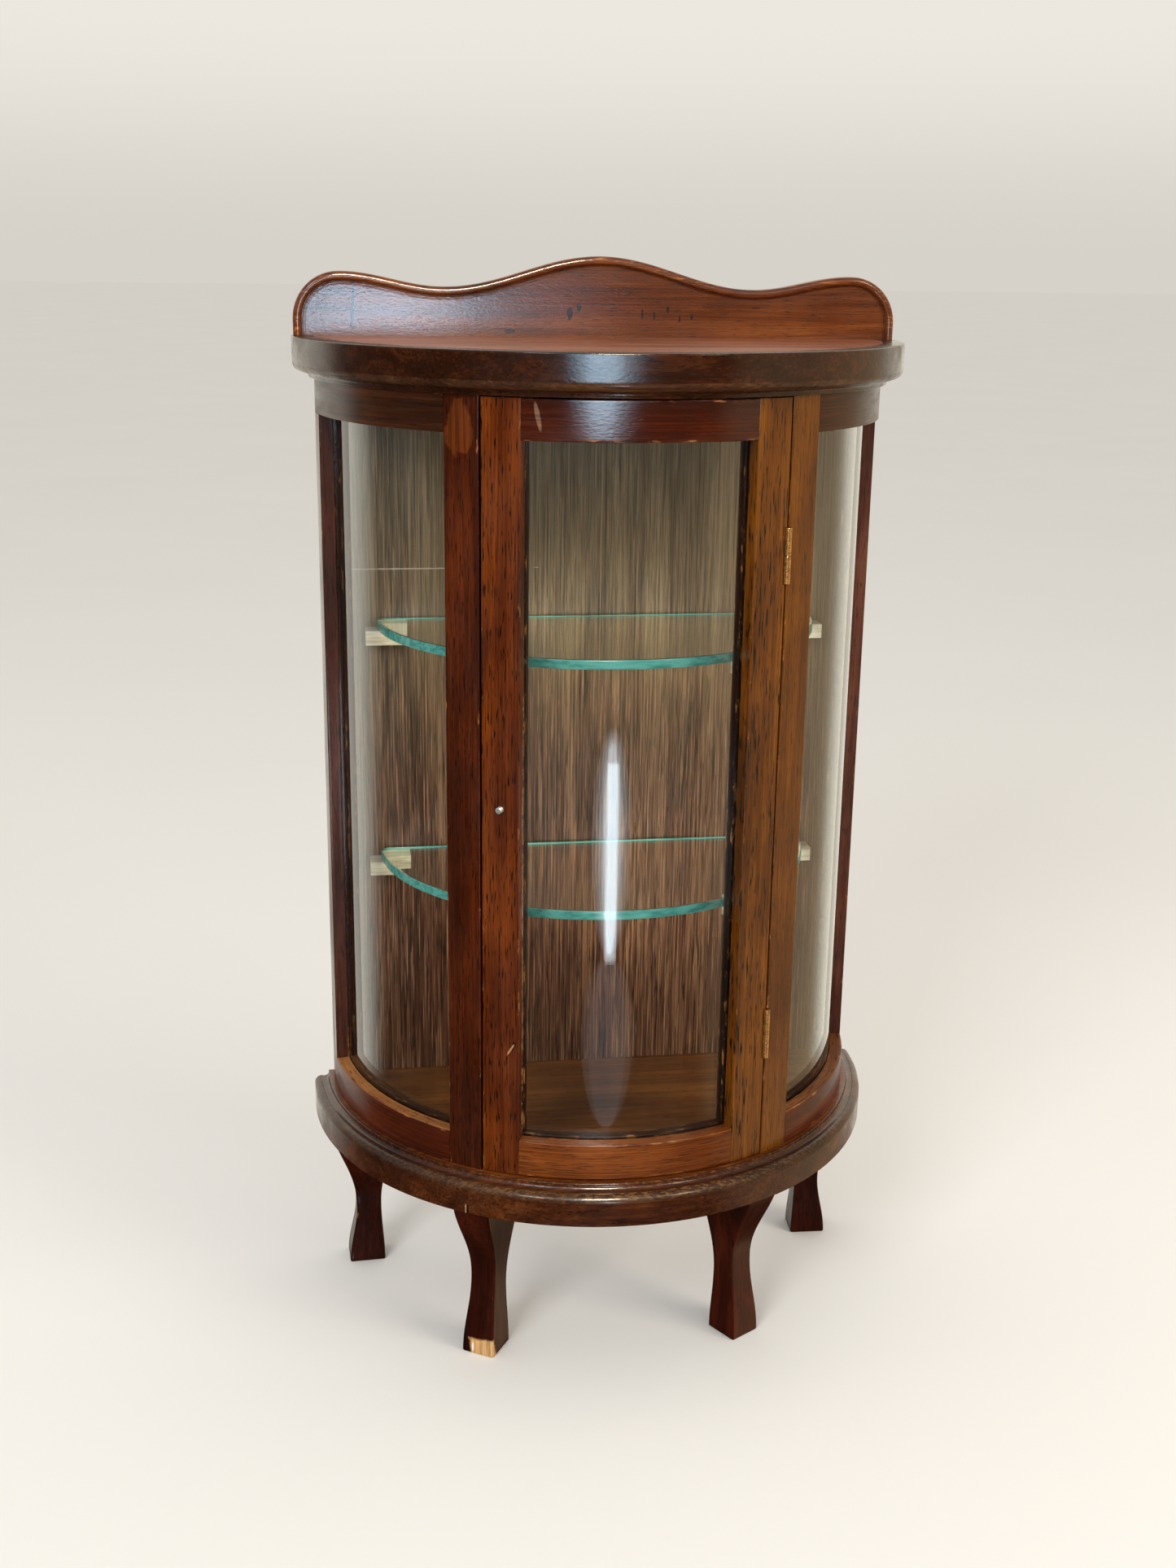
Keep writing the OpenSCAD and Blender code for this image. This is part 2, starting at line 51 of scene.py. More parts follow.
# ---- the cabinet's own sizes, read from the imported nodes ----
deck_lo, deck_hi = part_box("top_board")
base_lo, base_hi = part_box("base_board")
post_lo, post_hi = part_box("rear_post_right")
DECK_R = deck_hi.x
CENTRE_Y = deck_lo.y + DECK_R
BACK_Y = deck_hi.y
TOP_Z, ROOF_Z = deck_hi.z, deck_lo.z
LEG_H, FLOOR_Z = base_lo.z, base_hi.z
BODY_R = CENTRE_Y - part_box("door_bottom_rail")[0].y
INNER_R, FACE_R = BODY_R - 19 * MM, BODY_R - 9 * MM
LIP_R = DECK_R - 10 * MM
SIGHT_Z0, SIGHT_Z1 = post_lo.z, post_hi.z
QUARTER = BODY_R * math.pi / 2


def arc(degrees):
    """Length along the outer face for a plan angle, 0 straight ahead and positive to the right."""
    return BODY_R * math.radians(degrees)


def bend(s, r, z):
    """Unrolled place (s along the face, r from the arcs' centre, z) to the row frame."""
    s, r, z = np.broadcast_arrays(*[np.asarray(v, float) for v in (s, r, z)])
    a = s / BODY_R
    return np.stack([r * np.sin(a), CENTRE_Y - r * np.cos(a), z], -1)


# ---- mesh helpers: a mesh is (verts, faces, wear, grain) until it becomes a piece ----
GUARD = 1.2 * MM
SHARP_ANGLE, EVEN_WEIGHT = math.radians(38), 80


def spaced(a, b, step):
    """Values from a to b, about step apart, ends included."""
    n = max(1, int(math.ceil(abs(b - a) / step)))
    return list(np.linspace(a, b, n + 1))


def in_mm(rows):
    return [(a * MM, b * MM) for a, b in rows]


def rounded(corners, radii, step=5 * MM, turns=3):
    """A closed outline with its corners rounded: points and how worn each one is (1 on the arrises)."""
    n = len(corners)
    c = [np.array(p, float) for p in corners]
    bends = []
    for i in range(n):
        p, q, w = c[i - 1], c[i], c[(i + 1) % n]
        u, v = (p - q) / np.linalg.norm(p - q), (w - q) / np.linalg.norm(w - q)
        half = math.acos(max(-1, min(1, float(u @ v)))) / 2
        cut = radii[i] / math.tan(half) if radii[i] > 0 else 0
        bends.append((q, u, v, half, cut))
    points, wear = [], []
    for i in range(n):
        q, u, v, half, cut = bends[i]
        if cut:
            bisector = (u + v) / np.linalg.norm(u + v)
            centre = q + bisector * radii[i] / math.sin(half)
            start, end = q + u * cut - centre, q + v * cut - centre
            swing = math.atan2(start[0] * end[1] - start[1] * end[0], float(start @ end))
            for k in range(turns + 1):
                t = swing * k / turns
                turn = np.array([[math.cos(t), -math.sin(t)], [math.sin(t), math.cos(t)]])
                points.append(centre + turn @ start)
                wear.append(1.0)
        else:
            points.append(q)
            wear.append(0.0)
        nq, nu, _, _, ncut = bends[(i + 1) % n]
        a, b = q + v * cut, nq + nu * ncut
        gap = float(np.linalg.norm(b - a))
        if gap > 3 * GUARD:
            for t in spaced(GUARD, gap - GUARD, step):
                points.append(a + (b - a) * t / gap)
                wear.append(0.0)
        elif gap > 1.5 * GUARD:
            points.append((a + b) / 2)
            wear.append(0.3)
    return np.array(points), np.array(wear)


def grid_faces(rows, cols, closed_cols=True):
    """Quads between rows of cols points each."""
    faces = []
    for i in range(rows - 1):
        for j in range(cols if closed_cols else cols - 1):
            k = (j + 1) % cols
            faces.append([i * cols + j, i * cols + k, (i + 1) * cols + k, (i + 1) * cols + j])
    return faces


def capped(rows, cols):
    """Faces of a tube of rows of cols points each, with both of its ends closed."""
    ends = [list(range(cols))[::-1], [(rows - 1) * cols + j for j in range(cols)]]
    return grid_faces(rows, cols) + ends


def outward(verts, faces):
    """Turns all the faces so that the closed mesh has a positive volume."""
    v = np.array(verts, float)
    total = 0.0
    for f in faces:
        for i in range(1, len(f) - 1):
            total += float(np.dot(v[f[0]], np.cross(v[f[i]], v[f[i + 1]])))
    return faces if total > 0 else [list(f)[::-1] for f in faces]


def prism(section, stations, place, wear):
    """A section swept through stations, with both ends closed."""
    verts, grain = [], []
    for t in stations:
        p, g = place(section, t)
        verts.append(p)
        grain.append(g)
    v, rows = np.concatenate(verts), len(stations)
    return v, outward(v, capped(rows, len(section))), np.tile(wear, rows), np.concatenate(grain)


def upright_mesh(corners, z0, z1, radius=0.6 * MM):
    """A bent member that stands: corners are (s, r) in the unrolled plan."""
    section, wear = rounded(corners, [radius] * len(corners), 4 * MM)

    def place(points, z):
        s, r = points[:, 0], points[:, 1]
        return bend(s, r, z), np.stack([np.full(len(s), z), s, r], -1)

    return prism(section, spaced(z0, z1, 40 * MM), place, wear)


def lying_mesh(corners, s0, s1, radius=0.6 * MM, step=6 * MM, s_step=4 * MM):
    """A bent member that lies along the face: corners are (r, z)."""
    section, wear = rounded(corners, [radius] * len(corners), step)

    def place(points, s):
        r, z = points[:, 0], points[:, 1]
        return bend(s, r, z), np.stack([np.full(len(r), s), z, r], -1)

    return prism(section, spaced(s0, s1, s_step), place, wear)


def together(*parts):
    """Several meshes as one."""
    verts, faces, wear, grain = [], [], [], []
    for v, f, w, g in parts:
        start = sum(len(x) for x in verts)
        verts.append(np.array(v, float))
        faces += [[start + i for i in face] for face in f]
        wear.append(np.array(w, float))
        grain.append(np.array(g, float))
    return np.concatenate(verts), faces, np.concatenate(wear), np.concatenate(grain)


def mirrored(mesh, side):
    """The right-hand mesh, or its mirror image for the left."""
    v, f, w, g = mesh
    if side == RIGHT:
        return mesh
    return v * np.array([-1, 1, 1]), [list(face)[::-1] for face in f], w, g


def facing(mesh, test):
    """Material index of each face: 1 where test(centre, normal) holds."""
    v, f = mesh[0], mesh[1]
    index = []
    for face in f:
        p = v[face]
        normal = np.cross(p[1] - p[0], p[2] - p[0])
        index.append(int(bool(test(p.mean(0), normal / max(np.linalg.norm(normal), 1e-15)))))
    return index


def block_mesh(lo, hi, radius=0.5 * MM, along=0, turn=0.0, shift=(0, 0, 0)):
    """A straight block with all twelve arrises rounded; along is its grain's axis."""
    lo, hi = np.array(lo, float), np.array(hi, float)
    angles = (math.pi / 2, math.pi / 3, math.pi / 6, 0)
    low = [(lo[2] + radius * (1 - math.sin(t)), radius * (1 - math.cos(t))) for t in angles]
    high = [(hi[2] + lo[2] - z, inset) for z, inset in low[::-1]]
    verts, worn = [], []
    for z, inset in low + high:
        corners = [(lo[0] + inset, lo[1] + inset), (hi[0] - inset, lo[1] + inset),
                   (hi[0] - inset, hi[1] - inset), (lo[0] + inset, hi[1] - inset)]
        points, wear = rounded(corners, [max(radius - inset, 0.02 * MM)] * 4, step=30 * MM)
        verts.append(np.column_stack([points, np.full(len(points), z)]))
        worn.append(np.maximum(wear, 0.9 if 0 < inset < radius else 0))
    faces = capped(len(verts), len(verts[0]))
    v = np.concatenate(verts)
    grain = np.roll(v, -along, axis=1)
    v = v @ np.array(Matrix.Rotation(turn, 3, "Z")).T + np.array(shift, float)
    return v, outward(v, faces), np.concatenate(worn), grain


def lathe_mesh(profile, centre, axis, seg):
    """Turned solid: profile is (distance along axis, radius), from end to end."""
    axis = Vector(axis).normalized()
    side = axis.orthogonal().normalized()
    other = axis.cross(side)
    verts, faces, rows = [], [], []
    for h, r in profile:
        row = []
        for k in range(seg if r > 1e-7 else 1):
            a = 2 * math.pi * k / seg
            row.append(len(verts))
            verts.append(tuple(Vector(centre) + axis * h + (side * math.cos(a) + other * math.sin(a)) * r))
        rows.append(row)
    for a, b in zip(rows, rows[1:]):
        for k in range(seg):
            m = (k + 1) % seg
            if len(a) == 1:
                faces.append([a[0], b[m], b[k]])
            elif len(b) == 1:
                faces.append([a[k], a[m], b[0]])
            else:
                faces.append([a[k], a[m], b[m], b[k]])
    if len(rows[0]) > 1:
        faces.append(rows[0][::-1])
    if len(rows[-1]) > 1:
        faces.append(rows[-1])
    v = np.array(verts, float)
    return v, outward(v, faces), np.zeros(len(v)), v.copy()


def offset_of(name):
    """A place in the timber of its own for each piece, the same each run."""
    seed = zlib.crc32(name.encode())
    return np.array([(seed >> k & 255) / 255 * 7 for k in (0, 8, 16)])


def piece(node, kind, body, mesh, materials, index=None):
    """The drawn piece that stands for one CAD node and rides on a body."""
    name = f"{node}_{kind}"
    verts, faces, wear, grain = mesh
    data = bpy.data.meshes.new(name)
    data.from_pydata([tuple(v) for v in verts], [], [tuple(int(i) for i in f) for f in faces])
    data.update()
    for m in materials:
        data.materials.append(m)
    if index is not None:
        data.polygons.foreach_set("material_index", np.array(index, np.int32))
    field = data.attributes.new("grain", "FLOAT_VECTOR", "POINT")
    field.data.foreach_set("vector", (np.array(grain, float) + offset_of(name)).astype(np.float32).ravel())
    field = data.attributes.new("wear", "FLOAT", "POINT")
    field.data.foreach_set("value", np.array(wear, np.float32))
    data.polygons.foreach_set("use_smooth", [True] * len(data.polygons))
    data.set_sharp_from_angle(angle=SHARP_ANGLE)
    obj = bpy.data.objects.new(name, data)
    bpy.context.scene.collection.objects.link(obj)
    even = obj.modifiers.new("even_normals", "WEIGHTED_NORMAL")
    even.keep_sharp = True
    even.weight = EVEN_WEIGHT
    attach(obj, body)
    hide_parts(node)


# ---- materials ----
def srgb(r, g, b):
    """Linear colour from 0-255 screen values."""
    out = []
    for v in (r, g, b):
        v /= 255
        out.append(v / 12.92 if v <= 0.04045 else ((v + 0.055) / 1.055) ** 2.4)
    return (*out, 1.0)


class Nodes:
    """Short calls for building one material's node tree."""

    def __init__(self, name):
        self.material = bpy.data.materials.new(name)
        self.material.use_nodes = True
        self.tree = self.material.node_tree
        self.shader = self.tree.nodes["Principled BSDF"]

    def new(self, kind):
        return self.tree.nodes.new(kind)

    def link(self, source, target):
        self.tree.links.new(source, target)

    def feed(self, source, socket):
        """A number, a colour or a link into a socket."""
        if isinstance(source, (int, float, tuple)):
            socket.default_value = source
        else:
            self.link(source, socket)

    def set(self, **values):
        for key, v in values.items():
            self.feed(v, self.shader.inputs[key.replace("_", " ")])

    def attribute(self, name, output):
        n = self.new("ShaderNodeAttribute")
        n.attribute_name = name
        return n.outputs[output]

    def place(self):
        """The piece's own coordinates, in metres."""
        return self.new("ShaderNodeTexCoord").outputs["Object"]

    def vector_math(self, operation, vector, by=None):
        n = self.new("ShaderNodeVectorMath")
        n.operation = operation
        self.link(vector, n.inputs[0])
        if by is not None:
            n.inputs[1].default_value = by
        return n.outputs

    def noise(self, vector, scale, detail=3.0, rough=0.55, distortion=0.0):
        n = self.new("ShaderNodeTexNoise")
        n.inputs["Scale"].default_value = 1.0
        n.inputs["Detail"].default_value = detail
        n.inputs["Roughness"].default_value = rough
        n.inputs["Distortion"].default_value = distortion
        self.link(self.vector_math("MULTIPLY", vector, scale)[0], n.inputs["Vector"])
        return n.outputs["Fac"]

    def split(self, vector):
        n = self.new("ShaderNodeSeparateXYZ")
        self.link(vector, n.inputs[0])
        return n.outputs

    def spot(self, centre, size, ragged=0.5, fine=220, lean=0.0, boxy=False):
        """1 inside an egg-shaped or boxy place in millimetres; lean slants it in the XZ plane."""
        shifted = self.vector_math("SUBTRACT", self.place(), [v * MM for v in centre])[0]
        turn = self.new("ShaderNodeVectorRotate")
        turn.rotation_type = "Y_AXIS"
        turn.inputs["Angle"].default_value = lean
        self.link(shifted, turn.inputs["Vector"])
        scaled = self.vector_math("MULTIPLY", turn.outputs[0], [1 / (v * MM) for v in size])[0]
        if boxy:
            x, y, z = [self.math("ABSOLUTE", v) for v in self.split(scaled)]
            far = self.math("MAXIMUM", self.math("MAXIMUM", x, y), z)
        else:
            far = self.vector_math("LENGTH", scaled)["Value"]
        speckle = self.math("SUBTRACT", self.noise(self.place(), (fine, fine, fine), 3, 0.6), 0.5)
        return self.step(self.math("ADD", far, self.times(speckle, ragged * 2)), 1.12, 0.88)

    def step(self, value, low, high, to_low=0.0, to_high=1.0):
        n = self.new("ShaderNodeMapRange")
        n.interpolation_type = "SMOOTHSTEP"
        self.link(value, n.inputs["Value"])
        for key, v in zip(("From Min", "From Max", "To Min", "To Max"), (low, high, to_low, to_high)):
            n.inputs[key].default_value = v
        return n.outputs["Result"]

    def math(self, operation, a, b=None):
        n = self.new("ShaderNodeMath")
        n.operation = operation
        self.feed(a, n.inputs[0])
        if b is not None:
            self.feed(b, n.inputs[1])
        return n.outputs[0]

    def times(self, a, b):
        return self.math("MULTIPLY", a, b)

    def mix(self, factor, a, b):
        n = self.new("ShaderNodeMix")
        n.data_type = "RGBA"
        n.clamp_factor = True
        self.feed(factor, n.inputs["Factor"])
        for key, v in (("A_Color", a), ("B_Color", b)):
            self.feed(v, next(i for i in n.inputs if i.identifier == key))
        return next(o for o in n.outputs if o.identifier == "Result_Color")

    def ramp(self, value, stops):
        n = self.new("ShaderNodeValToRGB")
        self.link(value, n.inputs["Fac"])
        e = n.color_ramp.elements
        while len(e) < len(stops):
            e.new(0.5)
        for i, (at, colour) in enumerate(stops):
            e[i].position = at
            e[i].color = colour
        return n.outputs["Color"]

    def bump(self, height, strength, distance, normal=None):
        n = self.new("ShaderNodeBump")
        n.inputs["Strength"].default_value = strength
        n.inputs["Distance"].default_value = distance
        self.link(height, n.inputs["Height"])
        if normal is not None:
            self.link(normal, n.inputs["Normal"])
        return n.outputs["Normal"]

    def grazing(self):
        """0 where a surface is seen square on, 1 where it is seen edge on."""
        return self.new("ShaderNodeLayerWeight").outputs["Facing"]

    def lamp_ray(self):
        """1 for the rays that look for a lamp, which glass lets through."""
        return self.new("ShaderNodeLightPath").outputs["Is Shadow Ray"]

    def surface(self, factor, a, b):
        """The material's surface becomes a mix of two shaders."""
        blend = self.new("ShaderNodeMixShader")
        for source, socket in zip((factor, a, b), blend.inputs):
            self.link(source, socket)
        self.link(blend.outputs[0], self.tree.nodes["Material Output"].inputs["Surface"])


# Figures of the wood, in repeats per metre along the grain, across it and through the board.
GROWTH, FIBRE, BLOTCH = (2.6, 60, 60), (16, 900, 600), (11, 16, 16)
HANDLING, ORANGE_PEEL = (14, 60, 60), (380, 800, 800)
LACQUER_WAVE, PORE_DEPTH = 0.06 * MM, 0.12 * MM


def wood(name, dark, mid, light, worn=(176, 116, 62), gloss=0.30, coat=0.5, pores=0.75, figure=1.0,
         wear_at=0.52, peel=0.5, marks=(), pore_size=(95, 1350, 700), rub_size=(60, 260, 260),
         edge_gloss=0.12):
    """Stained and lacquered wood: growth bands, fibres, short pores, stain blotches and rubbed arrises."""
    n = Nodes(name)
    g = n.attribute("grain", "Vector")
    bands = n.noise(g, GROWTH, 4, 0.6, 1.4)
    fibres = n.noise(g, FIBRE, 3, 0.65)
    blotch = n.noise(g, BLOTCH, 3, 0.5, 0.4)
    tone = n.math("ADD", n.times(bands, 0.55 * figure), n.times(fibres, 0.45))
    tone = n.math("ADD", tone, n.times(n.math("SUBTRACT", blotch, 0.5), 0.5))
    tone = n.math("ADD", tone, 0.275 * (1 - figure))
    colour = n.ramp(tone, [(0.30, srgb(*dark)), (0.50, srgb(*mid)), (0.70, srgb(*light))])
    pore = n.step(n.noise(g, pore_size, 2, 0.5), 0.56, 0.66)
    colour = n.mix(n.times(pore, pores), colour, srgb(*[v * 0.28 for v in dark]))
    rub = n.step(n.noise(g, rub_size, 4, 0.7), wear_at, wear_at + 0.16)
    colour = n.mix(n.times(n.attribute("wear", "Fac"), rub), colour, srgb(*worn))
    for centre, size, tint, weight, more in marks:
        dull, bright = srgb(*[v * 0.78 for v in tint]), srgb(*[min(v * 1.12, 255) for v in tint])
        grained = n.mix(n.step(fibres, 0.35, 0.65), dull, bright)
        colour = n.mix(n.times(n.spot(centre, size, **more), weight), colour, grained)
    rough = n.step(n.noise(g, HANDLING, 4, 0.6), 0.3, 0.75, gloss - 0.06, gloss + 0.16)
    skin = n.bump(n.noise(g, ORANGE_PEEL, 3, 0.55), peel, LACQUER_WAVE)
    height = n.math("SUBTRACT", n.times(fibres, 0.4), n.times(pore, 0.8))
    relief = n.bump(height, 0.35, PORE_DEPTH, skin)
    n.set(Base_Color=colour, Roughness=rough, Normal=relief, Coat_Normal=skin)
    even_coat = edge_gloss == 1 or coat == 0
    shine = coat if even_coat else n.times(n.step(n.grazing(), 0.45, 0.9, 1.0, edge_gloss), coat)
    n.set(Coat_Weight=shine, Coat_Roughness=0.10, Specular_IOR_Level=0.15)
    return n.material


# ---- marks of use: centre and half sizes in millimetres, colour, weight and rim ----
PALE_WOOD, SMEAR, CRACK, DENT = (214, 168, 112), (150, 118, 96), (46, 6, 4), (26, 12, 14)
CREST_MARKS = [((-160.4, 85, 691), (0.9, 9, 16), CRACK, 1.0, {"ragged": 0.15, "lean": -0.072, "fine": 500})]
CREST_MARKS += [((x, 85, z), (w, 9, h), DENT, 0.8, {"fine": 500}) for x, z, w, h in
                ((-20, 688, 2.0, 4.2), (-14, 692, 1.2, 3.0), (-59, 676.5, 3.6, 1.6), (28, 688, 0.7, 3.4),
                 (36, 687, 0.6, 3.0), (45, 691, 0.9, 2.6), (53, 685, 0.7, 2.2), (61, 686, 0.9, 1.6))]
CHIP, CHIP_EDGE = (206, 160, 106), (216, 210, 200)
FOOT_MARKS = [((-90, -46, 1), (8, 16, 11), CHIP, 0.95, {"ragged": 0.15, "lean": 0.12, "boxy": True}),
              ((-97, -47, 5), (0.8, 9, 4), CHIP_EDGE, 0.9, {"ragged": 0.3})]
RAIL_MARKS = [((-60.4, -83, 636.5), (1.4, 16, 8.5), SMEAR, 0.45, {"ragged": 0.25, "fine": 90, "lean": 0.2})]
LOW_RAIL_MARKS = [((-66, -80, 181), (1.8, 14, 1.3), PALE_WOOD, 0.9, {}),
                  ((70, -79, 180), (1.6, 14, 1.2), PALE_WOOD, 0.9, {})]
STILE_MARKS = [((-75, -77, 242), (0.6, 14, 4.5), PALE_WOOD, 0.5, {"ragged": 0.4, "lean": -0.5}),
               ((-66.6, -80, 330), (0.7, 14, 130), PALE_WOOD, 0.45, {"ragged": 2.2})]
FIXED_MARKS = [((-103, -62, 628), (7, 20, 16), (112, 52, 12), 0.5, {"ragged": 1.0, "fine": 60})]
BASE_MARKS = [((-104.0, -78, 131), (0.5, 14, 4.5), (176, 140, 100), 0.6, {"ragged": 0.5}),
              ((-102.8, -78, 131), (0.7, 14, 4.5), DENT, 0.9, {"ragged": 0.5})]
PANEL_MARKS = [((-110, 88, 521), (60, 9, 0.5), (206, 190, 170), 0.6, {"ragged": 0.8})]

TIMBER = {}
FINE_RUB, LEG_STAIN = (240, 700, 700), ((26, 5, 1), (50, 12, 3), (80, 25, 7))


def timber(name, *colours, **more):
    TIMBER[name] = wood(f"wood_{name}", *colours, **more)


timber("boards", (24, 8, 3), (44, 18, 6), (76, 36, 13), (150, 104, 52), gloss=0.24, coat=0.7, pores=0.5,
       peel=0.9, wear_at=0.5, rub_size=FINE_RUB)
# On the base, the worn colour along the lip and cove is partly real rubbing and partly a painted gold highlight
# of the lacquer.
timber("base", (34, 12, 4), (64, 28, 9), (102, 54, 20), (140, 90, 40), gloss=0.24, coat=0.7, pores=0.5,
       peel=0.9, wear_at=0.5, marks=BASE_MARKS, rub_size=FINE_RUB)
# The ovolo band is a greyer, lighter copy of the board wood, a painted sheen; its gold worn colour is partly
# real wear and partly a painted highlight.
timber("moulding", (34, 16, 8), (60, 33, 17), (94, 60, 32), (188, 136, 72), gloss=0.3, pores=0.5, peel=0.8,
       wear_at=0.46, rub_size=FINE_RUB)
timber("ledge", (66, 26, 6), (104, 48, 12), (146, 78, 26), gloss=0.36, pores=0.4)
timber("floor", (70, 34, 10), (110, 60, 20), (144, 86, 36), gloss=0.36, pores=0.7)
# The top board's upper face gets a much lighter copy of the board wood: a painted sheen of the pale wall
# mirrored in its lacquer.
timber("deck_painted_sheen", (118, 62, 42), (162, 98, 70), (192, 124, 92), gloss=0.34, coat=0.5, pores=0.3, edge_gloss=1.0)
timber("crest", (64, 26, 8), (108, 52, 18), (144, 80, 32), (190, 120, 52), gloss=0.3, coat=0.9, pores=0.6,
       peel=1.0, wear_at=0.56, marks=CREST_MARKS, rub_size=(60, 500, 500))
timber("fixed_left", (38, 10, 2), (62, 20, 2), (96, 38, 5), pores=0.75, wear_at=0.58, marks=FIXED_MARKS)
timber("door_left", (42, 12, 2), (80, 30, 3), (118, 54, 7), pores=0.95, marks=STILE_MARKS,
       pore_size=(80, 1000, 600), wear_at=0.58)
timber("door_right", (46, 20, 2), (84, 42, 2), (120, 68, 6), pores=1.0,
       pore_size=(70, 1000, 600), wear_at=0.58)
timber("fixed_right", (50, 22, 2), (86, 44, 3), (114, 64, 7), pores=0.6, wear_at=0.58)
timber("rails", (30, 7, 2), (56, 17, 4), (90, 34, 8), gloss=0.24, coat=0.9, pores=0.3, figure=0.7, peel=0.8,
       marks=RAIL_MARKS)
timber("low_rail", (58, 22, 5), (98, 46, 11), (142, 76, 24), gloss=0.3, pores=0.6,
       marks=LOW_RAIL_MARKS)
timber("side_rails", (26, 10, 3), (46, 20, 6), (76, 38, 12), gloss=0.32, coat=0.4, pores=0.4, wear_at=0.6)
timber("low_side_rails", (40, 12, 3), (72, 24, 6), (108, 44, 12), gloss=0.3, coat=0.4,
       pores=0.35, wear_at=0.56)
timber("rubbed", (84, 44, 20), (146, 90, 46), (190, 134, 82), gloss=0.5, coat=0.0, pores=0.7,
       pore_size=(140, 900, 500))
timber("rubbed_dark", (70, 34, 12), (112, 62, 26), (160, 108, 58), gloss=0.45, coat=0.1, pores=0.7)
timber("posts", (44, 20, 14), (76, 38, 26), (108, 62, 44), pores=0.5, coat=0.3, wear_at=0.6)
for key, marks in (("legs", ()), ("chipped_leg", FOOT_MARKS)):
    timber(key, *LEG_STAIN, gloss=0.3, coat=0.4, pores=0.35, wear_at=0.64, marks=marks)
timber("strips", (18, 7, 4), (30, 12, 7), (50, 23, 13), gloss=0.4, coat=0.2, pores=0.4)


def pale_wood(name, grain_of, figure, dark, mid, light, rough):
    """Bare wood of the parts that nobody stained."""
    n = Nodes(name)
    tone = n.noise(grain_of(n), figure, 4, 0.6, 0.8)
    colour = n.ramp(tone, [(0.3, srgb(*dark)), (0.5, srgb(*mid)), (0.72, srgb(*light))])
    n.set(Base_Color=colour, Roughness=rough, Normal=n.bump(tone, 0.4, 0.3 * MM))
    return n.material


def plywood(name, dark, mid, light, gloss, painted_wash_share=0.0, marks=()):
    """Open-grained veneer with long vertical lines, painted paler and greyer towards the top as reflected
    light.
    """
    n = Nodes(name)
    g = n.attribute("grain", "Vector")
    lines = n.noise(g, (9, 760, 260), 3, 0.8, 0.3)
    broad = n.noise(g, (1.2, 30, 10), 4, 0.6, 1.2)
    tone = n.math("ADD", n.times(lines, 0.62), n.times(broad, 0.38))
    colour = n.ramp(tone, [(0.38, srgb(*dark)), (0.5, srgb(*mid)), (0.6, srgb(*light))])
    pale = n.step(n.noise(g, (12, 900, 260), 3, 0.7), 0.55, 0.64)
    colour = n.mix(n.times(pale, 0.4), colour, srgb(*[min(255, v * 1.4 + 16) for v in light]))
    pore = n.step(n.noise(g, (32, 1100, 360), 2, 0.6), 0.55, 0.62)
    colour = n.mix(n.times(pore, 0.8), colour, srgb(*[v * 0.35 for v in dark]))
    # Painted reflection: higher up, the veneer turns paler and greyer, standing in for light mirrored off the
    # glossy panel.
    painted_wash = n.step(n.split(n.place())[2], 0.30, 0.55, 0, painted_wash_share)
    colour = n.mix(n.times(painted_wash, n.step(tone, 0.36, 0.6, 0.3, 1.0)), colour, srgb(142, 128, 100))
    for centre, size, tint, weight, more in marks:
        colour = n.mix(n.times(n.spot(centre, size, **more), weight), colour, srgb(*tint))
    height = n.math("SUBTRACT", lines, n.times(pore, 0.8))
    n.set(Base_Color=colour, Roughness=gloss, Normal=n.bump(height, 0.75, 0.4 * MM))
    return n.material


GLASS_IOR = 1.5


def glass_wave(n):
    """The slow waviness of old glass."""
    return n.bump(n.noise(n.attribute("grain", "Vector"), (14, 22, 22), 2, 0.4), 0.05, 0.6 * MM)


def clear_shader(n, tint):
    clear = n.new("ShaderNodeBsdfTransparent")
    clear.inputs["Color"].default_value = tint
    return clear.outputs[0]


def shelf_glass(name, tint):
    """Clear shelf glass: bends light for the eye and lets lamps through."""
    n = Nodes(name)
    n.set(Base_Color=tint, Roughness=0.0, IOR=GLASS_IOR, Transmission_Weight=1.0)
    n.set(Normal=glass_wave(n))
    n.surface(n.lamp_ray(), n.shader.outputs[0], clear_shader(n, (0.93, 0.96, 0.94, 1)))
    return n.material


def pane_glass(name, tint):
    """Thin bent glass: straight sight lines through it, and mirroring that grows towards its edges."""
    n = Nodes(name)
    wavy = glass_wave(n)
    n.set(Base_Color=(1, 1, 1, 1), Metallic=1.0, Roughness=0.0, Normal=wavy)
    fresnel = n.new("ShaderNodeFresnel")
    behind = n.new("ShaderNodeNewGeometry").outputs["Backfacing"]
    # From behind, the node takes the inverse, so this keeps one and the same glass on both faces.
    n.link(n.math("SUBTRACT", GLASS_IOR, n.times(behind, GLASS_IOR - 1 / GLASS_IOR)), fresnel.inputs["IOR"])
    n.link(wavy, fresnel.inputs["Normal"])
    mirror_share = n.times(fresnel.outputs[0], n.math("SUBTRACT", 1, n.lamp_ray()))
    n.surface(mirror_share, clear_shader(n, tint), n.shader.outputs[0])
    return n.material


def glass_edge(name, tint, deep):
    n = Nodes(name)
    g = n.attribute("grain", "Vector")
    tone = n.noise(g, (30, 260, 260), 3, 0.6)
    colour = n.mix(n.step(tone, 0.35, 0.7), srgb(*tint), srgb(*deep))
    n.set(Base_Color=colour, Roughness=0.22, Normal=n.bump(n.noise(g, (60, 700, 700), 2, 0.5), 0.3, 0.2 * MM))
    n.set(Subsurface_Weight=0.4, Subsurface_Scale=4 * MM, Coat_Weight=0.5, Coat_Roughness=0.08)
    n.shader.inputs["Subsurface Radius"].default_value = (0.5, 1.0, 0.9)
    return n.material


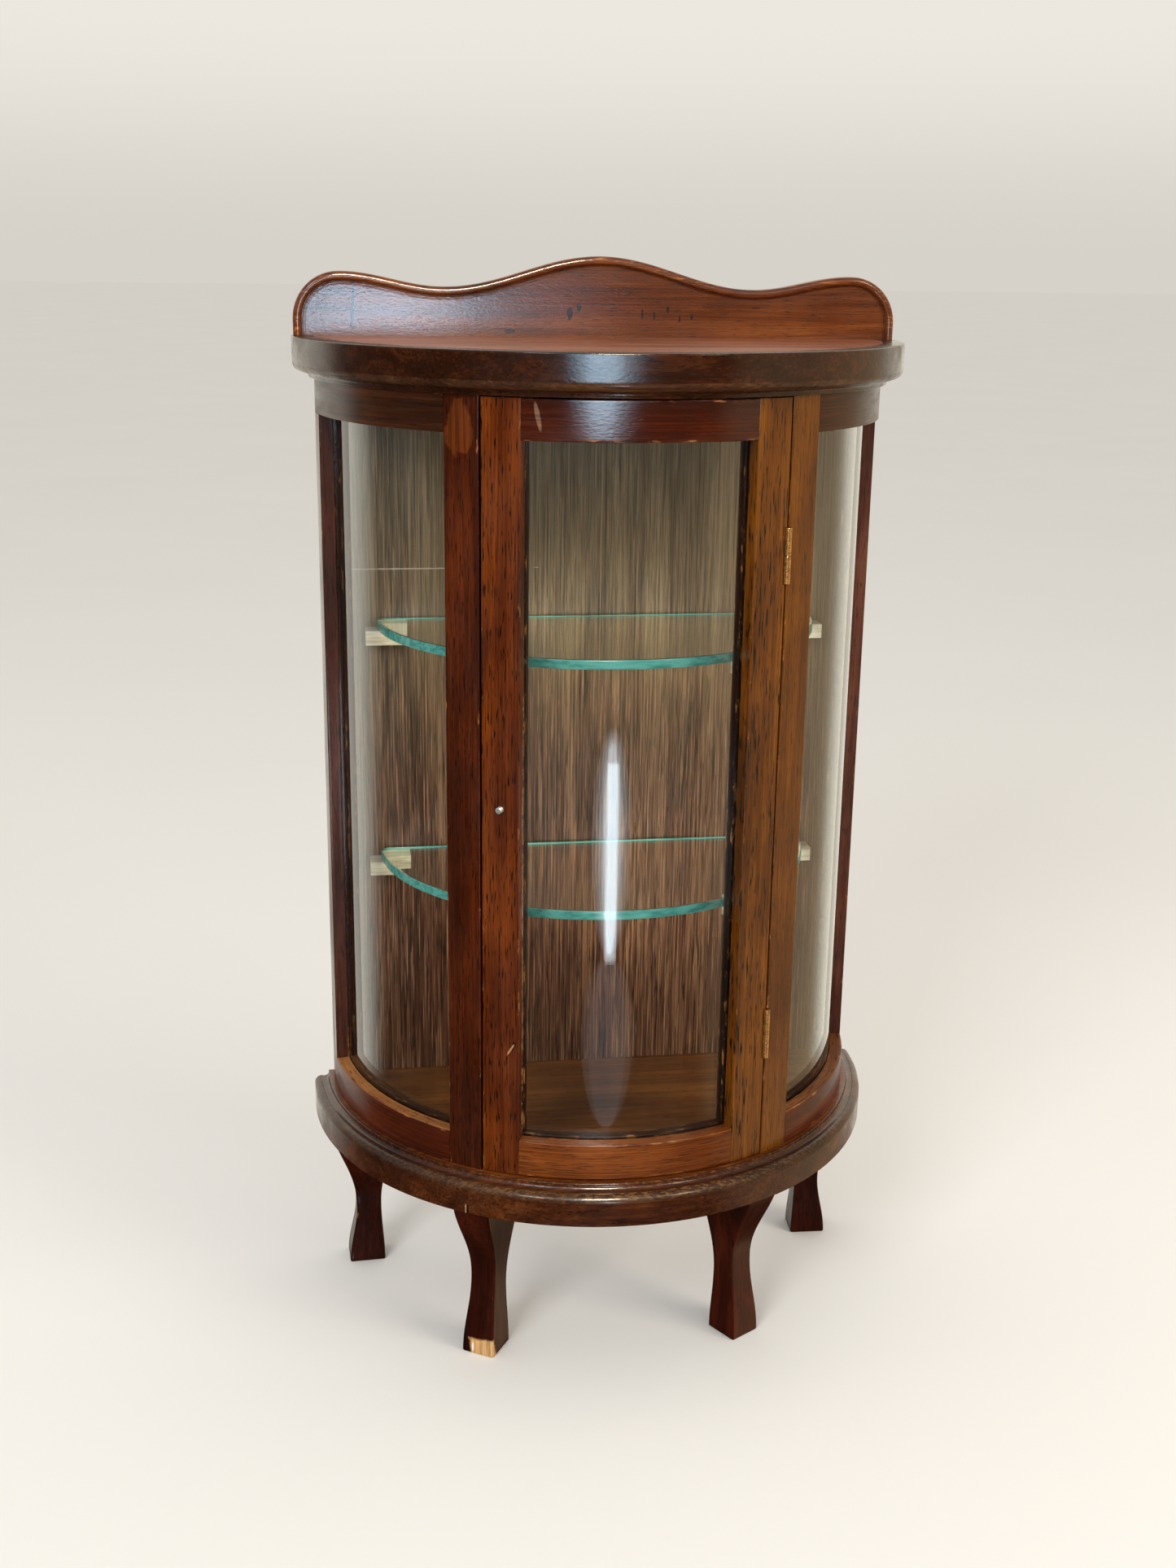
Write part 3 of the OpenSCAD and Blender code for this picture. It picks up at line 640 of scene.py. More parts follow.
def metal(name, colour, tarnish, rough, wear, sheen):
    n = Nodes(name)
    g = n.attribute("grain", "Vector")
    spots = n.noise(g, (420, 420, 420), 4, 0.65)
    scuff = n.noise(g, (160, 2400, 2400), 3, 0.6)
    mixed = n.mix(n.step(spots, 0.42, 0.62, 0, wear), srgb(*colour), srgb(*tarnish))
    n.set(Base_Color=mixed, Metallic=sheen)
    n.set(Roughness=n.step(scuff, 0.3, 0.7, rough, rough + 0.22), Normal=n.bump(scuff, 0.25, 0.08 * MM))
    return n.material


def plastic(name, colour):
    n = Nodes(name)
    speck = n.noise(n.attribute("grain", "Vector"), (900, 900, 900), 3, 0.6)
    n.set(Base_Color=n.mix(n.step(speck, 0.4, 0.7), srgb(*colour), srgb(*[v + 14 for v in colour])))
    n.set(Roughness=n.step(speck, 0.3, 0.7, 0.38, 0.5), Normal=n.bump(speck, 0.2, 0.1 * MM))
    return n.material


TIMBER["cleats"] = pale_wood("cleat_wood", lambda n: n.attribute("grain", "Vector"), (24, 500, 300),
                             (150, 134, 112), (196, 182, 160), (222, 212, 196), 0.55)
# The dowels stay as packed and carry no grain of their own, so theirs runs up through their place.
DOWEL = pale_wood("dowel_wood", lambda n: n.place(), (500, 500, 24),
                  (150, 126, 92), (192, 168, 128), (218, 198, 164), 0.6)
# The 0.6 is the share of painted reflection that makes the front of the panel paler towards the top.
PLY = plywood("panel_front", (46, 22, 13), (92, 54, 36), (142, 102, 74), 0.34, 0.6, PANEL_MARKS)
PLY_BACK = plywood("panel_back", (112, 84, 58), (150, 118, 84), (180, 150, 112), 0.6)
PANE = pane_glass("bent_glass", (0.955, 0.975, 0.965, 1))
PANE_EDGE = glass_edge("bent_glass_edge", (34, 54, 48), (14, 26, 22))
SHELF = shelf_glass("shelf_glass", (0.93, 0.98, 0.955, 1))
SHELF_EDGE = glass_edge("shelf_glass_edge", (98, 172, 164), (56, 130, 126))
BRASS = metal("brass", (220, 164, 96), (118, 66, 34), 0.18, 0.5, 0.85)
STEEL = metal("steel", (214, 214, 212), (160, 156, 150), 0.25, 0.4, 0.8)
BLACK = plastic("catch_black", (24, 24, 26))


def wooden(node, body, mesh, timbers, index=None):
    """A wooden piece; timbers is one name or a list of them."""
    names = [timbers] if isinstance(timbers, str) else timbers
    piece(node, "wood", body, mesh, [TIMBER[t] for t in names], index)


# ---- moulded boards ----
def quarter(steps):
    """Angles of a quarter turn, ends included."""
    return [math.pi / 2 * k / steps for k in range(steps + 1)]


def moulded_profile(rim, lip):
    """Edge of a board lying on its plain face, from that face round to the other: (r, z, wear, band)."""
    fascia, ovolo, cove, eased, lip_eased = 16.5 * MM, 5 * MM, 3 * MM, 0.9 * MM, 0.5 * MM
    shoulder = DECK_R - ovolo
    full = base_hi.z - base_lo.z
    ledge = fascia + ovolo - 0.25 * MM
    out = [(DECK_R - 14 * MM, 0, 0, 0), (DECK_R - 3 * MM, 0, 0, 0)]
    out += [(DECK_R - eased * (1 - math.sin(t)), eased * (1 - math.cos(t)), rim, 0) for t in quarter(4)]
    out += [(DECK_R, 2.4 * MM, 0, 0), (DECK_R, fascia / 2, 0, 0), (DECK_R, fascia - 1 * MM, 0, 0)]
    # The lip's share of wear on the ovolo, cove and lip arris stands partly for real rubbing and partly for a
    # painted gold highlight along the step.
    for k, t in enumerate(quarter(8)):
        wear, band = 0.4 * lip * math.sin(t), 1 if k < 8 else 0
        out.append((shoulder + ovolo * math.cos(t), fascia + ovolo * math.sin(t), wear, band))
    out += [(shoulder - 0.3 * MM, ledge, 0.1, 0), (LIP_R + cove, ledge, 0.1, 0)]
    for k, t in list(enumerate(quarter(5)))[1:]:
        wear = 0.1 if k < 3 else 0.7 * lip
        out.append((LIP_R + cove * (1 - math.sin(t)), ledge + cove * (1 - math.cos(t)), wear, 0))
    for t in quarter(3):
        out.append((LIP_R - lip_eased * (1 - math.cos(t)), full - lip_eased * (1 - math.sin(t)), lip, 0))
    out += [(LIP_R - 1.6 * MM, full, 0.8 * lip, 2), (LIP_R - 6 * MM, full, 0, 0)]
    return out


def board(node, z0, up, rim, lip, edge, flat):
    """Half-round board with a moulded edge; up is 1 for a plain face below and -1 for one above."""
    profile = moulded_profile(rim, lip)
    stations = spaced(-QUARTER, QUARTER, 3.2 * MM)
    m, n = len(profile), len(stations)
    r = np.array([p[0] for p in profile])
    z = z0 + up * np.array([p[1] for p in profile])
    verts = np.concatenate([bend(s, r, z) for s in stations])
    # Wear, and the painted gold highlight it carries on the base, is strongest at the front.
    front_wear_and_highlight = np.array([0.3 + 0.7 * math.exp(-(s / (80 * MM)) ** 2) for s in stations])
    wear = np.outer(front_wear_and_highlight, [p[2] for p in profile]).ravel()
    faces = grid_faces(n, m, closed_cols=False)
    index = [profile[i % (m - 1)][3] for i in range(len(faces))]
    faces.append([i * m for i in range(n)])
    faces.append([i * m + m - 1 for i in range(n)][::-1])
    faces.append(list(range(m)) + [(n - 1) * m + j for j in range(m)][::-1])
    index += [0, 3, 0] if up > 0 else [3, 0, 0]
    mesh = (verts, outward(verts, faces), wear, verts.copy())
    wooden(node, "cabinet", mesh, [edge, "moulding", "ledge", flat], index=index)


# The base's full lip wear paints a gold highlight along its step as well as rubbing.
board("base_board", base_lo.z, 1, 0.25, 1.0, "base", "floor")
board("top_board", deck_hi.z, -1, 0.06, 0.1, "boards", "deck_painted_sheen")


# ---- crest ----
def ease(t):
    return (1 - np.cos(np.pi * np.clip(t, 0, 1))) / 2


crest_lo, crest_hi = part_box("crest_board")
CREST_TOP, CREST_W, CREST_FRONT = crest_hi.z - TOP_Z, crest_hi.x, crest_lo.y
VALLEY_X, LOBE_X, CORNER_R = 102 * MM, 168 * MM, 30 * MM
VALLEY_H, LOBE_H = 31 * MM, 40 * MM
# The bead and the field inside it, in millimetres: in from the edge, back from the front, and how worn.
BEAD = [(0, 9.9, 0.6), (0, 6.5, 0), (0, 3.2, 0), (0.1, 2.2, 0.5), (0.45, 1.25, 1), (1.15, 0.5, 1),
        (2.1, 0.08, 1), (3.1, 0.0, 0.7), (4.0, 0.2, 0.4), (4.8, 0.75, 0.3), (5.35, 1.6, 0.3),
        (5.6, 2.5, 0.8), (5.75, 3.35, 0), (6.2, 3.4, 0), (6.6, 3.05, 0), (8.5, 3.0, 0)]


def crest_height(x):
    x = abs(x)
    if x < VALLEY_X:
        return CREST_TOP + (VALLEY_H - CREST_TOP) * ease(x / VALLEY_X)
    return VALLEY_H + (LOBE_H - VALLEY_H) * ease((x - VALLEY_X) / (LOBE_X - VALLEY_X))


def crest_line():
    """Outline of the crest from its left foot over the top to its right foot, with inward normals."""
    half = [(x, crest_height(x)) for x in spaced(0, LOBE_X, 2.5 * MM)]
    for a in spaced(90, 0, 5)[1:]:
        t = math.radians(a)
        half.append((CREST_W - CORNER_R * (1 - math.cos(t)), LOBE_H - CORNER_R * (1 - math.sin(t))))
    half += [(CREST_W, h) for h in spaced(LOBE_H - CORNER_R, 0, 5 * MM)[1:]]
    line = np.array([(-x, h) for x, h in half[:0:-1]] + half)
    slope = np.gradient(line, axis=0)
    slope[0], slope[-1] = (0, 1), (0, -1)
    normal = np.stack([slope[:, 1], -slope[:, 0]], -1)
    return line, normal / np.linalg.norm(normal, axis=1, keepdims=True)


def crest():
    """Shaped gallery board: a bead follows its wavy edge and stands proud of the flat field."""
    line, normal = crest_line()
    back = BACK_Y - CREST_FRONT
    levels = [(0.7 * MM, back, 0), (0.2 * MM, back - 0.3 * MM, 0.6)]
    levels += [(i * MM, y * MM, w) for i, y, w in BEAD]
    verts = []
    for inset, depth, _ in levels:
        p = line + normal * inset
        verts.append(np.column_stack([p[:, 0], np.full(len(p), CREST_FRONT + depth), TOP_Z + p[:, 1]]))
    rows, n = len(levels), len(line)
    wear = np.repeat([float(w) for _, _, w in levels], n)
    faces = grid_faces(rows, n, closed_cols=False)
    faces.append(list(range(n)))
    faces.append([(rows - 1) * n + i for i in range(n)][::-1])
    faces.append([k * n for k in range(rows)][::-1] + [k * n + n - 1 for k in range(rows)])
    v = np.concatenate(verts)
    wooden("crest_board", "cabinet", (v, outward(v, faces), wear, v[:, [0, 2, 1]]), "crest")


crest()

# ---- legs ----
# Faces of a leg: height of the waist, then millimetres from the axis at waist, top and foot.
FRONT_FACES = {"outward": (60, 7, 28, 12.5), "inward": (45, 11, 25, 12.5),
               "far": (55, 9.2, 12.5, 13.2), "near": (50, 9.2, 14.5, 10.5)}
REAR_REACH = (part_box("rear_leg_right")[1].y - CENTRE_Y) / MM
REAR_TURN, REAR_Y, REAR_HEEL = math.radians(87), -8, 13
REAR_BACK = (REAR_REACH - REAR_Y - REAR_HEEL * math.cos(REAR_TURN)) / math.sin(REAR_TURN)
REAR_FACES = {"outward": (45, 7, 26, 13), "inward": (45, 11, 25, REAR_HEEL),
              "far": (50, 17, 7.5, REAR_BACK), "near": (50, -3, 16, 0.5)}
LEG_SIDES = ("outward", "inward", "far", "near")
REAR_X = {LEFT: 165 * MM, RIGHT: 173 * MM}
FRONT_AT, FRONT_R, FRONT_TURN = math.radians(34), 154 * MM, math.radians(32)


def leg_edge(z, face):
    low, waist, top, foot = [v * MM for v in face]
    if z >= low:
        return waist + (top - waist) * float(ease((z - low) / (LEG_H - low)))
    return waist + (foot - waist) * float(ease((low - z) / low))


def leg_mesh(shape, turn, x, y, side):
    """Leg with its outward face towards -Y before the turn; all its faces are S-curved."""
    levels = [(0.0, 0.8), (0.25 * MM, 0.3), (0.8 * MM, 0.0)]
    levels += [(z, 0.0) for z in spaced(4 * MM, LEG_H, 4.2 * MM)]
    verts, worn = [], []
    for z, inset in levels:
        out, back, far, near = [leg_edge(z, shape[w]) - inset * MM for w in LEG_SIDES]
        corners = [(-near, -out), (far, -out), (far, back), (-near, back)]
        points, wear = rounded(corners, [1.3 * MM] * 4, step=1, turns=4)
        verts.append(np.column_stack([points, np.full(len(points), z)]))
        worn.append(np.maximum(wear, 0.9 if inset > 0 else 0))
    faces = capped(len(verts), len(verts[0]))
    v = np.concatenate(verts)
    grain = v[:, [2, 0, 1]]
    v = v @ np.array(Matrix.Rotation(turn, 3, "Z")).T + np.array([x, CENTRE_Y + y, 0])
    return mirrored((v, outward(v, faces), np.concatenate(worn), grain), side)


for side, word in ((LEFT, "left"), (RIGHT, "right")):
    x, y = FRONT_R * math.sin(FRONT_AT), -FRONT_R * math.cos(FRONT_AT)
    front = leg_mesh(FRONT_FACES, FRONT_TURN, x, y, side)
    rear = leg_mesh(REAR_FACES, REAR_TURN, REAR_X[side], REAR_Y * MM, side)
    wooden(f"front_leg_{word}", "cabinet", front, "chipped_leg" if side == LEFT else "legs")
    wooden(f"rear_leg_{word}", "cabinet", rear, "legs")

# ---- fixed frame ----
FIT = 0.2 * MM
RAIL_H, REBATE_H = 22.5 * MM, 10 * MM
PANE_OUT, PANE_T = FACE_R - FIT, 3 * MM
STRIP_R, STRIP_ROUND, THIN_ROUND = PANE_OUT - PANE_T - FIT, 0.8 * MM, 0.3 * MM
A_OPEN, A_STILE, A_REBATE, A_POST = arc(30), arc(37.2), arc(34.2), arc(81)
A_LAP, A_GLASS0, A_GLASS1, A_REAR_STRIP = arc(34.3), arc(34.4), arc(85), arc(82.2)
A_TONGUE0, A_TONGUE1 = arc(85.2), arc(88.2)
PIN_S, PIN_R, SCOOP_R = arc(29.8), BODY_R + 0.6 * MM, 2.5 * MM
HINGE_H = 34 * MM
HINGE_Z = [(lo.z + hi.z) / 2 for lo, hi in (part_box("lower_hinge_pin"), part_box("upper_hinge_pin"))]


def oblong(a0, a1, b0, b1):
    return [(a0, b0), (a1, b0), (a1, b1), (a0, b1)]


def rail_corners(z0, up, height, rebate):
    """L-shaped section of a bent rail, its plain face at z0; up is 1 for a bottom rail."""
    step, top = z0 + up * rebate, z0 + up * height
    return [(INNER_R, z0), (BODY_R, z0), (BODY_R, top), (FACE_R, top), (FACE_R, step), (INNER_R, step)]


def side_rail(z0, up):
    """Bent side rail, with the lap behind the stile and the shortened back part at the post."""
    step, top = z0 + up * REBATE_H, z0 + up * RAIL_H
    return together(lying_mesh(rail_corners(z0, up, RAIL_H, REBATE_H), A_STILE, A_TONGUE1),
                    lying_mesh(oblong(FACE_R, BODY_R, z0, top), A_TONGUE1, QUARTER),
                    lying_mesh(oblong(INNER_R, FACE_R, z0, step), A_LAP, A_STILE + FIT, radius=THIN_ROUND),
                    lying_mesh(oblong(INNER_R, FACE_R, step, top), A_TONGUE0, A_TONGUE1, radius=THIN_ROUND))


def hinge_stile(corners, pin_corner, z0, z1):
    """A stile whose arris at the pin is scooped out round each hinge barrel."""
    section, wear = rounded(corners, [0.6 * MM] * len(corners), 4 * MM, 8)
    at, pin = np.array(corners[pin_corner]), np.array([PIN_S, PIN_R])
    near = np.where(np.linalg.norm(section - at, axis=1) < 0.62 * MM)[0]
    depth = PIN_R - math.sqrt(SCOOP_R ** 2 - (at[0] - PIN_S) ** 2)
    width = math.sqrt(SCOOP_R ** 2 - (PIN_R - BODY_R) ** 2)
    on_face = np.array([PIN_S + (-1 if at[0] < PIN_S else 1) * width, BODY_R])
    on_edge = np.array([at[0], depth])
    starts_on_face = abs(section[near[0]][1] - BODY_R) < 0.01 * MM
    first, last = (on_face, on_edge) if starts_on_face else (on_edge, on_face)
    a0, a1 = [math.atan2(*(end - pin)[::-1]) for end in (first, last)]
    if abs(a1 - a0) > math.pi:
        a1 += 2 * math.pi * (1 if a0 > a1 else -1)
    scoop = section.copy()
    for i, k in enumerate(near):
        t = a0 + (a1 - a0) * i / (len(near) - 1)
        scoop[k] = pin + SCOOP_R * np.array([math.cos(t), math.sin(t)])
    edges = [z0]
    for hz in HINGE_Z:
        edges += [hz - HINGE_H / 2 - 0.3 * MM, hz + HINGE_H / 2 + 0.3 * MM]
    edges.append(z1)
    stations = []
    for i, (low, high) in enumerate(zip(edges, edges[1:])):
        stations += [(z, i % 2 == 1) for z in spaced(low + 0.02 * MM, high - 0.02 * MM, 40 * MM)]
    stations[0], stations[-1] = (z0, False), (z1, False)

    def place(_, station):
        z, scooped = station
        p = scoop if scooped else section
        return bend(p[:, 0], p[:, 1], z), np.stack([np.full(len(p), z), p[:, 0], p[:, 1]], -1)

    return prism(section, stations, place, wear)


def stile_corners(a, b, a_back, b_back):
    """L-shaped plan of a stile: its face from a to b and its back part from a_back to b_back."""
    if b_back == b:
        return [(a, FACE_R), (a, BODY_R), (b, BODY_R), (b, INNER_R), (a_back, INNER_R), (a_back, FACE_R)]
    return [(a, INNER_R), (a, BODY_R), (b, BODY_R), (b, FACE_R), (b_back, FACE_R), (b_back, INNER_R)]


def rubbed_top(centre, normal):
    return normal[2] > 0.9 and math.hypot(centre[0], centre[1] - CENTRE_Y) > FACE_R


def lying_strip(node, body, za, zb, s0, s1, side=RIGHT):
    mesh = lying_mesh(oblong(INNER_R, STRIP_R, za, zb), s0, s1, radius=STRIP_ROUND)
    wooden(node, body, mirrored(mesh, side), "strips")


def standing_strip(node, body, sa, sb, z0, z1, side):
    mesh = upright_mesh(oblong(sa, sb, INNER_R, STRIP_R), z0 + FIT, z1 - FIT, radius=STRIP_ROUND)
    wooden(node, body, mirrored(mesh, side), "strips")


fixed = stile_corners(A_OPEN, A_STILE, A_OPEN, A_REBATE)
fixed_left = mirrored(upright_mesh(fixed, FLOOR_Z, ROOF_Z), LEFT)
wooden("fixed_stile_left", "cabinet", fixed_left, "fixed_left")
wooden("fixed_stile_right", "cabinet", hinge_stile(fixed, 1, FLOOR_Z, ROOF_Z), "fixed_right")
post = [(A_POST, BODY_R), (A_POST, FACE_R), (A_TONGUE0, FACE_R), (A_TONGUE0, INNER_R), (A_TONGUE1, INNER_R),
        (A_TONGUE1, FACE_R), (QUARTER, FACE_R), (QUARTER, BODY_R)]
GLASS_Z0, GLASS_Z1 = FLOOR_Z + REBATE_H, ROOF_Z - REBATE_H
for side, word in ((LEFT, "left"), (RIGHT, "right")):
    low_rail = mirrored(side_rail(FLOOR_Z, 1), side)
    standing_post = mirrored(upright_mesh(post, SIGHT_Z0, SIGHT_Z1), side)
    wooden(f"rear_post_{word}", "cabinet", standing_post, "posts")
    rub = "rubbed" if side == LEFT else "rubbed_dark"
    index = facing(low_rail, rubbed_top)
    wooden(f"side_bottom_rail_{word}", "cabinet", low_rail, ["low_side_rails", rub], index=index)
    wooden(f"side_top_rail_{word}", "cabinet", mirrored(side_rail(ROOF_Z, -1), side), "side_rails")
    lying_strip(f"glass_strip_bottom_{word}", "cabinet", GLASS_Z0, SIGHT_Z0, A_GLASS0, A_GLASS1, side)
    lying_strip(f"glass_strip_top_{word}", "cabinet", SIGHT_Z1, GLASS_Z1, A_GLASS0, A_GLASS1, side)
    standing_strip(f"glass_strip_front_{word}", "cabinet", A_GLASS0, A_STILE, SIGHT_Z0, SIGHT_Z1, side)
    standing_strip(f"glass_strip_rear_{word}", "cabinet", A_REAR_STRIP, A_GLASS1, SIGHT_Z0, SIGHT_Z1, side)

# ---- door ----
DOOR_Z0, DOOR_Z1 = FLOOR_Z + 1 * MM, ROOF_Z - 1 * MM
DOOR_RAIL_H, DOOR_REBATE_H = 24 * MM, 19 * MM
A_DOOR, A_DOOR_STILE, A_DOOR_REBATE, A_DOOR_GLASS = arc(29.6), arc(22), arc(23.6), arc(23.4)
DOOR_GLASS_Z0, DOOR_GLASS_Z1 = DOOR_Z0 + DOOR_REBATE_H, DOOR_Z1 - DOOR_REBATE_H
DOOR_SIGHT_Z0, DOOR_SIGHT_Z1 = DOOR_Z0 + DOOR_RAIL_H, DOOR_Z1 - DOOR_RAIL_H


def door_rail(z0, up):
    """Bent door rail: its back part laps behind both stiles."""
    back = oblong(INNER_R, FACE_R, z0, z0 + up * DOOR_REBATE_H)
    return together(lying_mesh(rail_corners(z0, up, DOOR_RAIL_H, DOOR_REBATE_H), -A_DOOR_STILE, A_DOOR_STILE),
                    lying_mesh(back, -A_DOOR_GLASS, -A_DOOR_STILE + FIT, radius=THIN_ROUND),
                    lying_mesh(back, A_DOOR_STILE - FIT, A_DOOR_GLASS, radius=THIN_ROUND))


door_plan = stile_corners(A_DOOR_STILE, A_DOOR, A_DOOR_REBATE, A_DOOR)
door_left = mirrored(upright_mesh(door_plan, DOOR_Z0, DOOR_Z1), LEFT)
wooden("door_stile_left", "door", door_left, "door_left")
wooden("door_stile_right", "door", hinge_stile(door_plan, 2, DOOR_Z0, DOOR_Z1), "door_right")
wooden("door_bottom_rail", "door", door_rail(DOOR_Z0, 1), "low_rail")
wooden("door_top_rail", "door", door_rail(DOOR_Z1, -1), "rails")
lying_strip("door_strip_bottom", "door", DOOR_GLASS_Z0, DOOR_SIGHT_Z0, -A_DOOR_GLASS, A_DOOR_GLASS)
lying_strip("door_strip_top", "door", DOOR_SIGHT_Z1, DOOR_GLASS_Z1, -A_DOOR_GLASS, A_DOOR_GLASS)
for side, word in ((LEFT, "left"), (RIGHT, "right")):
    standing_strip(f"door_strip_{word}", "door", A_DOOR_STILE, A_DOOR_GLASS, DOOR_SIGHT_Z0, DOOR_SIGHT_Z1, side)


# ---- bent glass ----
def pane_rim(centre, normal):
    radial = centre - np.array([0, CENTRE_Y, centre[2]])
    return abs(float(normal @ radial)) < 0.97 * np.linalg.norm(radial)


def pane(node, body, s0, s1, z0, z1, side=RIGHT):
    section = oblong(PANE_OUT - PANE_T, PANE_OUT, z0 + FIT, z1 - FIT)
    mesh = mirrored(lying_mesh(section, s0, s1, radius=0.7 * MM, step=60 * MM, s_step=1.5 * MM), side)
    piece(node, "pane", body, mesh, [PANE, PANE_EDGE], facing(mesh, pane_rim))


for side, word in ((LEFT, "left"), (RIGHT, "right")):
    pane(f"side_glass_{word}", "cabinet", A_GLASS0, A_GLASS1, GLASS_Z0, GLASS_Z1, side)
pane("door_glass", "door", -A_DOOR_GLASS, A_DOOR_GLASS, DOOR_GLASS_Z0, DOOR_GLASS_Z1)


# ---- shelves ----
def shelf(node, body):
    lo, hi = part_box(node)
    radius, corner, back = CENTRE_Y - lo.y, 8 * MM, hi.y
    lobe_y = back - CENTRE_Y - corner
    lobe_x = math.sqrt((radius - corner) ** 2 - lobe_y ** 2)
    meet = math.atan2(-lobe_y, lobe_x)
    swing = math.pi / 2 - meet
    sweep = spaced(-swing, swing, math.radians(1.5))
    front = [(radius * math.sin(t), CENTRE_Y - radius * math.cos(t)) for t in sweep]
    turns = [-meet + (math.pi / 2 + meet) * k / 9 for k in range(1, 10)]
    lobe = [(lobe_x + corner * math.cos(t), CENTRE_Y + lobe_y + corner * math.sin(t)) for t in turns]
    straight = [(x, back) for x in spaced(lobe_x, -lobe_x, 8 * MM)[1:-1]]
    line = np.array(front + lobe + straight + [(-x, y) for x, y in lobe[::-1]])
    slope = np.roll(line, -1, 0) - np.roll(line, 1, 0)
    inward = np.stack([-slope[:, 1], slope[:, 0]], -1)
    inward /= np.linalg.norm(inward, axis=1, keepdims=True)
    arris, face = 0.7 * MM, 2.5 * MM
    half = [(face, 0), (arris, 0), (arris * 0.35, arris * 0.3), (0, arris)]
    loops = [(inset, lo.z + h) for inset, h in half] + [(inset, hi.z - h) for inset, h in half[::-1]]
    n = len(line)
    verts = np.concatenate([np.column_stack([line + inward * inset, np.full(n, z)]) for inset, z in loops])
    faces = capped(len(loops), n)
    index = [1 if 1 <= i // n <= 5 else 0 for i in range(len(faces) - 2)] + [0, 0]
    mesh = (verts, outward(verts, faces), np.zeros(len(verts)), verts.copy())
    piece(node, "glass", body, mesh, [SHELF, SHELF_EDGE], index)


shelf("upper_shelf", "shelf_above")
shelf("lower_shelf", "shelf_below")

# ---- cleats ----
CLEAT_L, CLEAT_W, CLEAT_A = 28 * MM, 10 * MM, 32.2
for level in ("upper", "lower"):
    lo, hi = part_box(f"{level}_rear_cleats")
    starts = (lo.x, hi.x - CLEAT_L)
    cleats = [block_mesh((x, lo.y, lo.z), (x + CLEAT_L, hi.y, hi.z), along=0) for x in starts]
    wooden(f"{level}_rear_cleats", "cabinet", together(*cleats), "cleats")
    outer = INNER_R - FIT
    ends = (-CLEAT_W / 2, -outer, lo.z), (CLEAT_W / 2, -outer + CLEAT_L, hi.z)
    turns = [math.radians(a) for a in (-CLEAT_A, CLEAT_A)]
    cleats = [block_mesh(*ends, along=1, turn=turn, shift=(0, CENTRE_Y, 0)) for turn in turns]
    wooden(f"{level}_front_cleats", "cabinet", together(*cleats), "cleats")

# ---- back panel and its tacks ----
lo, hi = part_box("back_panel")
sheet = block_mesh(lo, hi, radius=THIN_ROUND, along=2)
piece("back_panel", "sheet", "cabinet", sheet, [PLY, PLY_BACK],
      facing(sheet, lambda centre, normal: normal[1] > 0.7))

TACK_X, TACK_END = (INNER_R + FACE_R) / 2, 12 * MM
TACK = [(-9, 0), (-7.6, 0.7), (-1, 0.7), (-0.9, 2.3), (-0.6, 2.6), (-0.25, 2.1), (-0.05, 1.1), (0, 0)]
tacks = []
for x in (-TACK_X, TACK_X):
    for i in range(5):
        z = FLOOR_Z + TACK_END + i * (ROOF_Z - FLOOR_Z - 2 * TACK_END) / 4
        tacks.append(lathe_mesh(in_mm(TACK), (x, hi.y, z), (0, 1, 0), 20))
piece("back_panel_tacks", "steel", "cabinet", together(*tacks), [STEEL])

# ---- hinges ----
KNUCKLE_R, HINGE_PIN_R, KNUCKLE_GAP, LEAF_T = 2.1 * MM, 0.95 * MM, 0.15 * MM, 1 * MM
SCREW_Z, SCREW_Y = 11 * MM, 8.5 * MM
ORIGIN, UP = (0, 0, 0), (0, 0, 1)


def at_pin(mesh, z):
    """From the pin's own axes (x along the arc to the right, y inward) to the row frame."""
    v, f, w, g = mesh
    turn = PIN_S / BODY_R
    v = v @ np.array(Matrix.Rotation(turn, 3, "Z")).T
    return v + np.array([PIN_R * math.sin(turn), CENTRE_Y - PIN_R * math.cos(turn), z]), f, w, g


def knuckle(z0, z1):
    e, r = 0.35 * MM, KNUCKLE_R
    rise = [(0, HINGE_PIN_R), (0, r - e), (e * 0.3, r - e * 0.3), (e, r)]
    return lathe_mesh([(z0 + h, q) for h, q in rise] + [(z1 - h, q) for h, q in rise[::-1]], ORIGIN, UP, 28)


def leaf(side, z0, z1, notch0, notch1):
    """Thin plate beside the pin, narrower where the other leaf's knuckle turns."""
    x0, x1 = sorted((side * KNUCKLE_GAP, side * (KNUCKLE_GAP + LEAF_T)))
    wide = block_mesh((x0, 3.0 * MM, z0), (x1, 15 * MM, z1), radius=0.25 * MM, along=2)
    neck = block_mesh((x0, 1.2 * MM, notch0), (x1, 3.3 * MM, notch1), radius=0.1 * MM, along=2)
    return together(wide, neck)


def screw(side, dz):
    """Slotted countersunk screw, its head level with the leaf."""
    out = [(0.15, 0), (0.15, 1.6), (0.25, 1.95), (1.0, 1.15), (1.6, 1.0), (9.5, 1.0), (11, 0.1), (11.1, 0)]
    head = lathe_mesh(in_mm(out), (0, SCREW_Y, dz), (side, 0, 0), 24)
    x0, x1 = sorted((0.05 * MM * side, 0.5 * MM * side))
    slot_l = 1.1 * MM
    ridges = [block_mesh((x0, SCREW_Y + a * MM, dz - slot_l), (x1, SCREW_Y + b * MM, dz + slot_l),
                         radius=0.08 * MM, along=1) for a, b in ((-1.2, -0.22), (0.22, 1.2))]
    return together(head, *ridges)


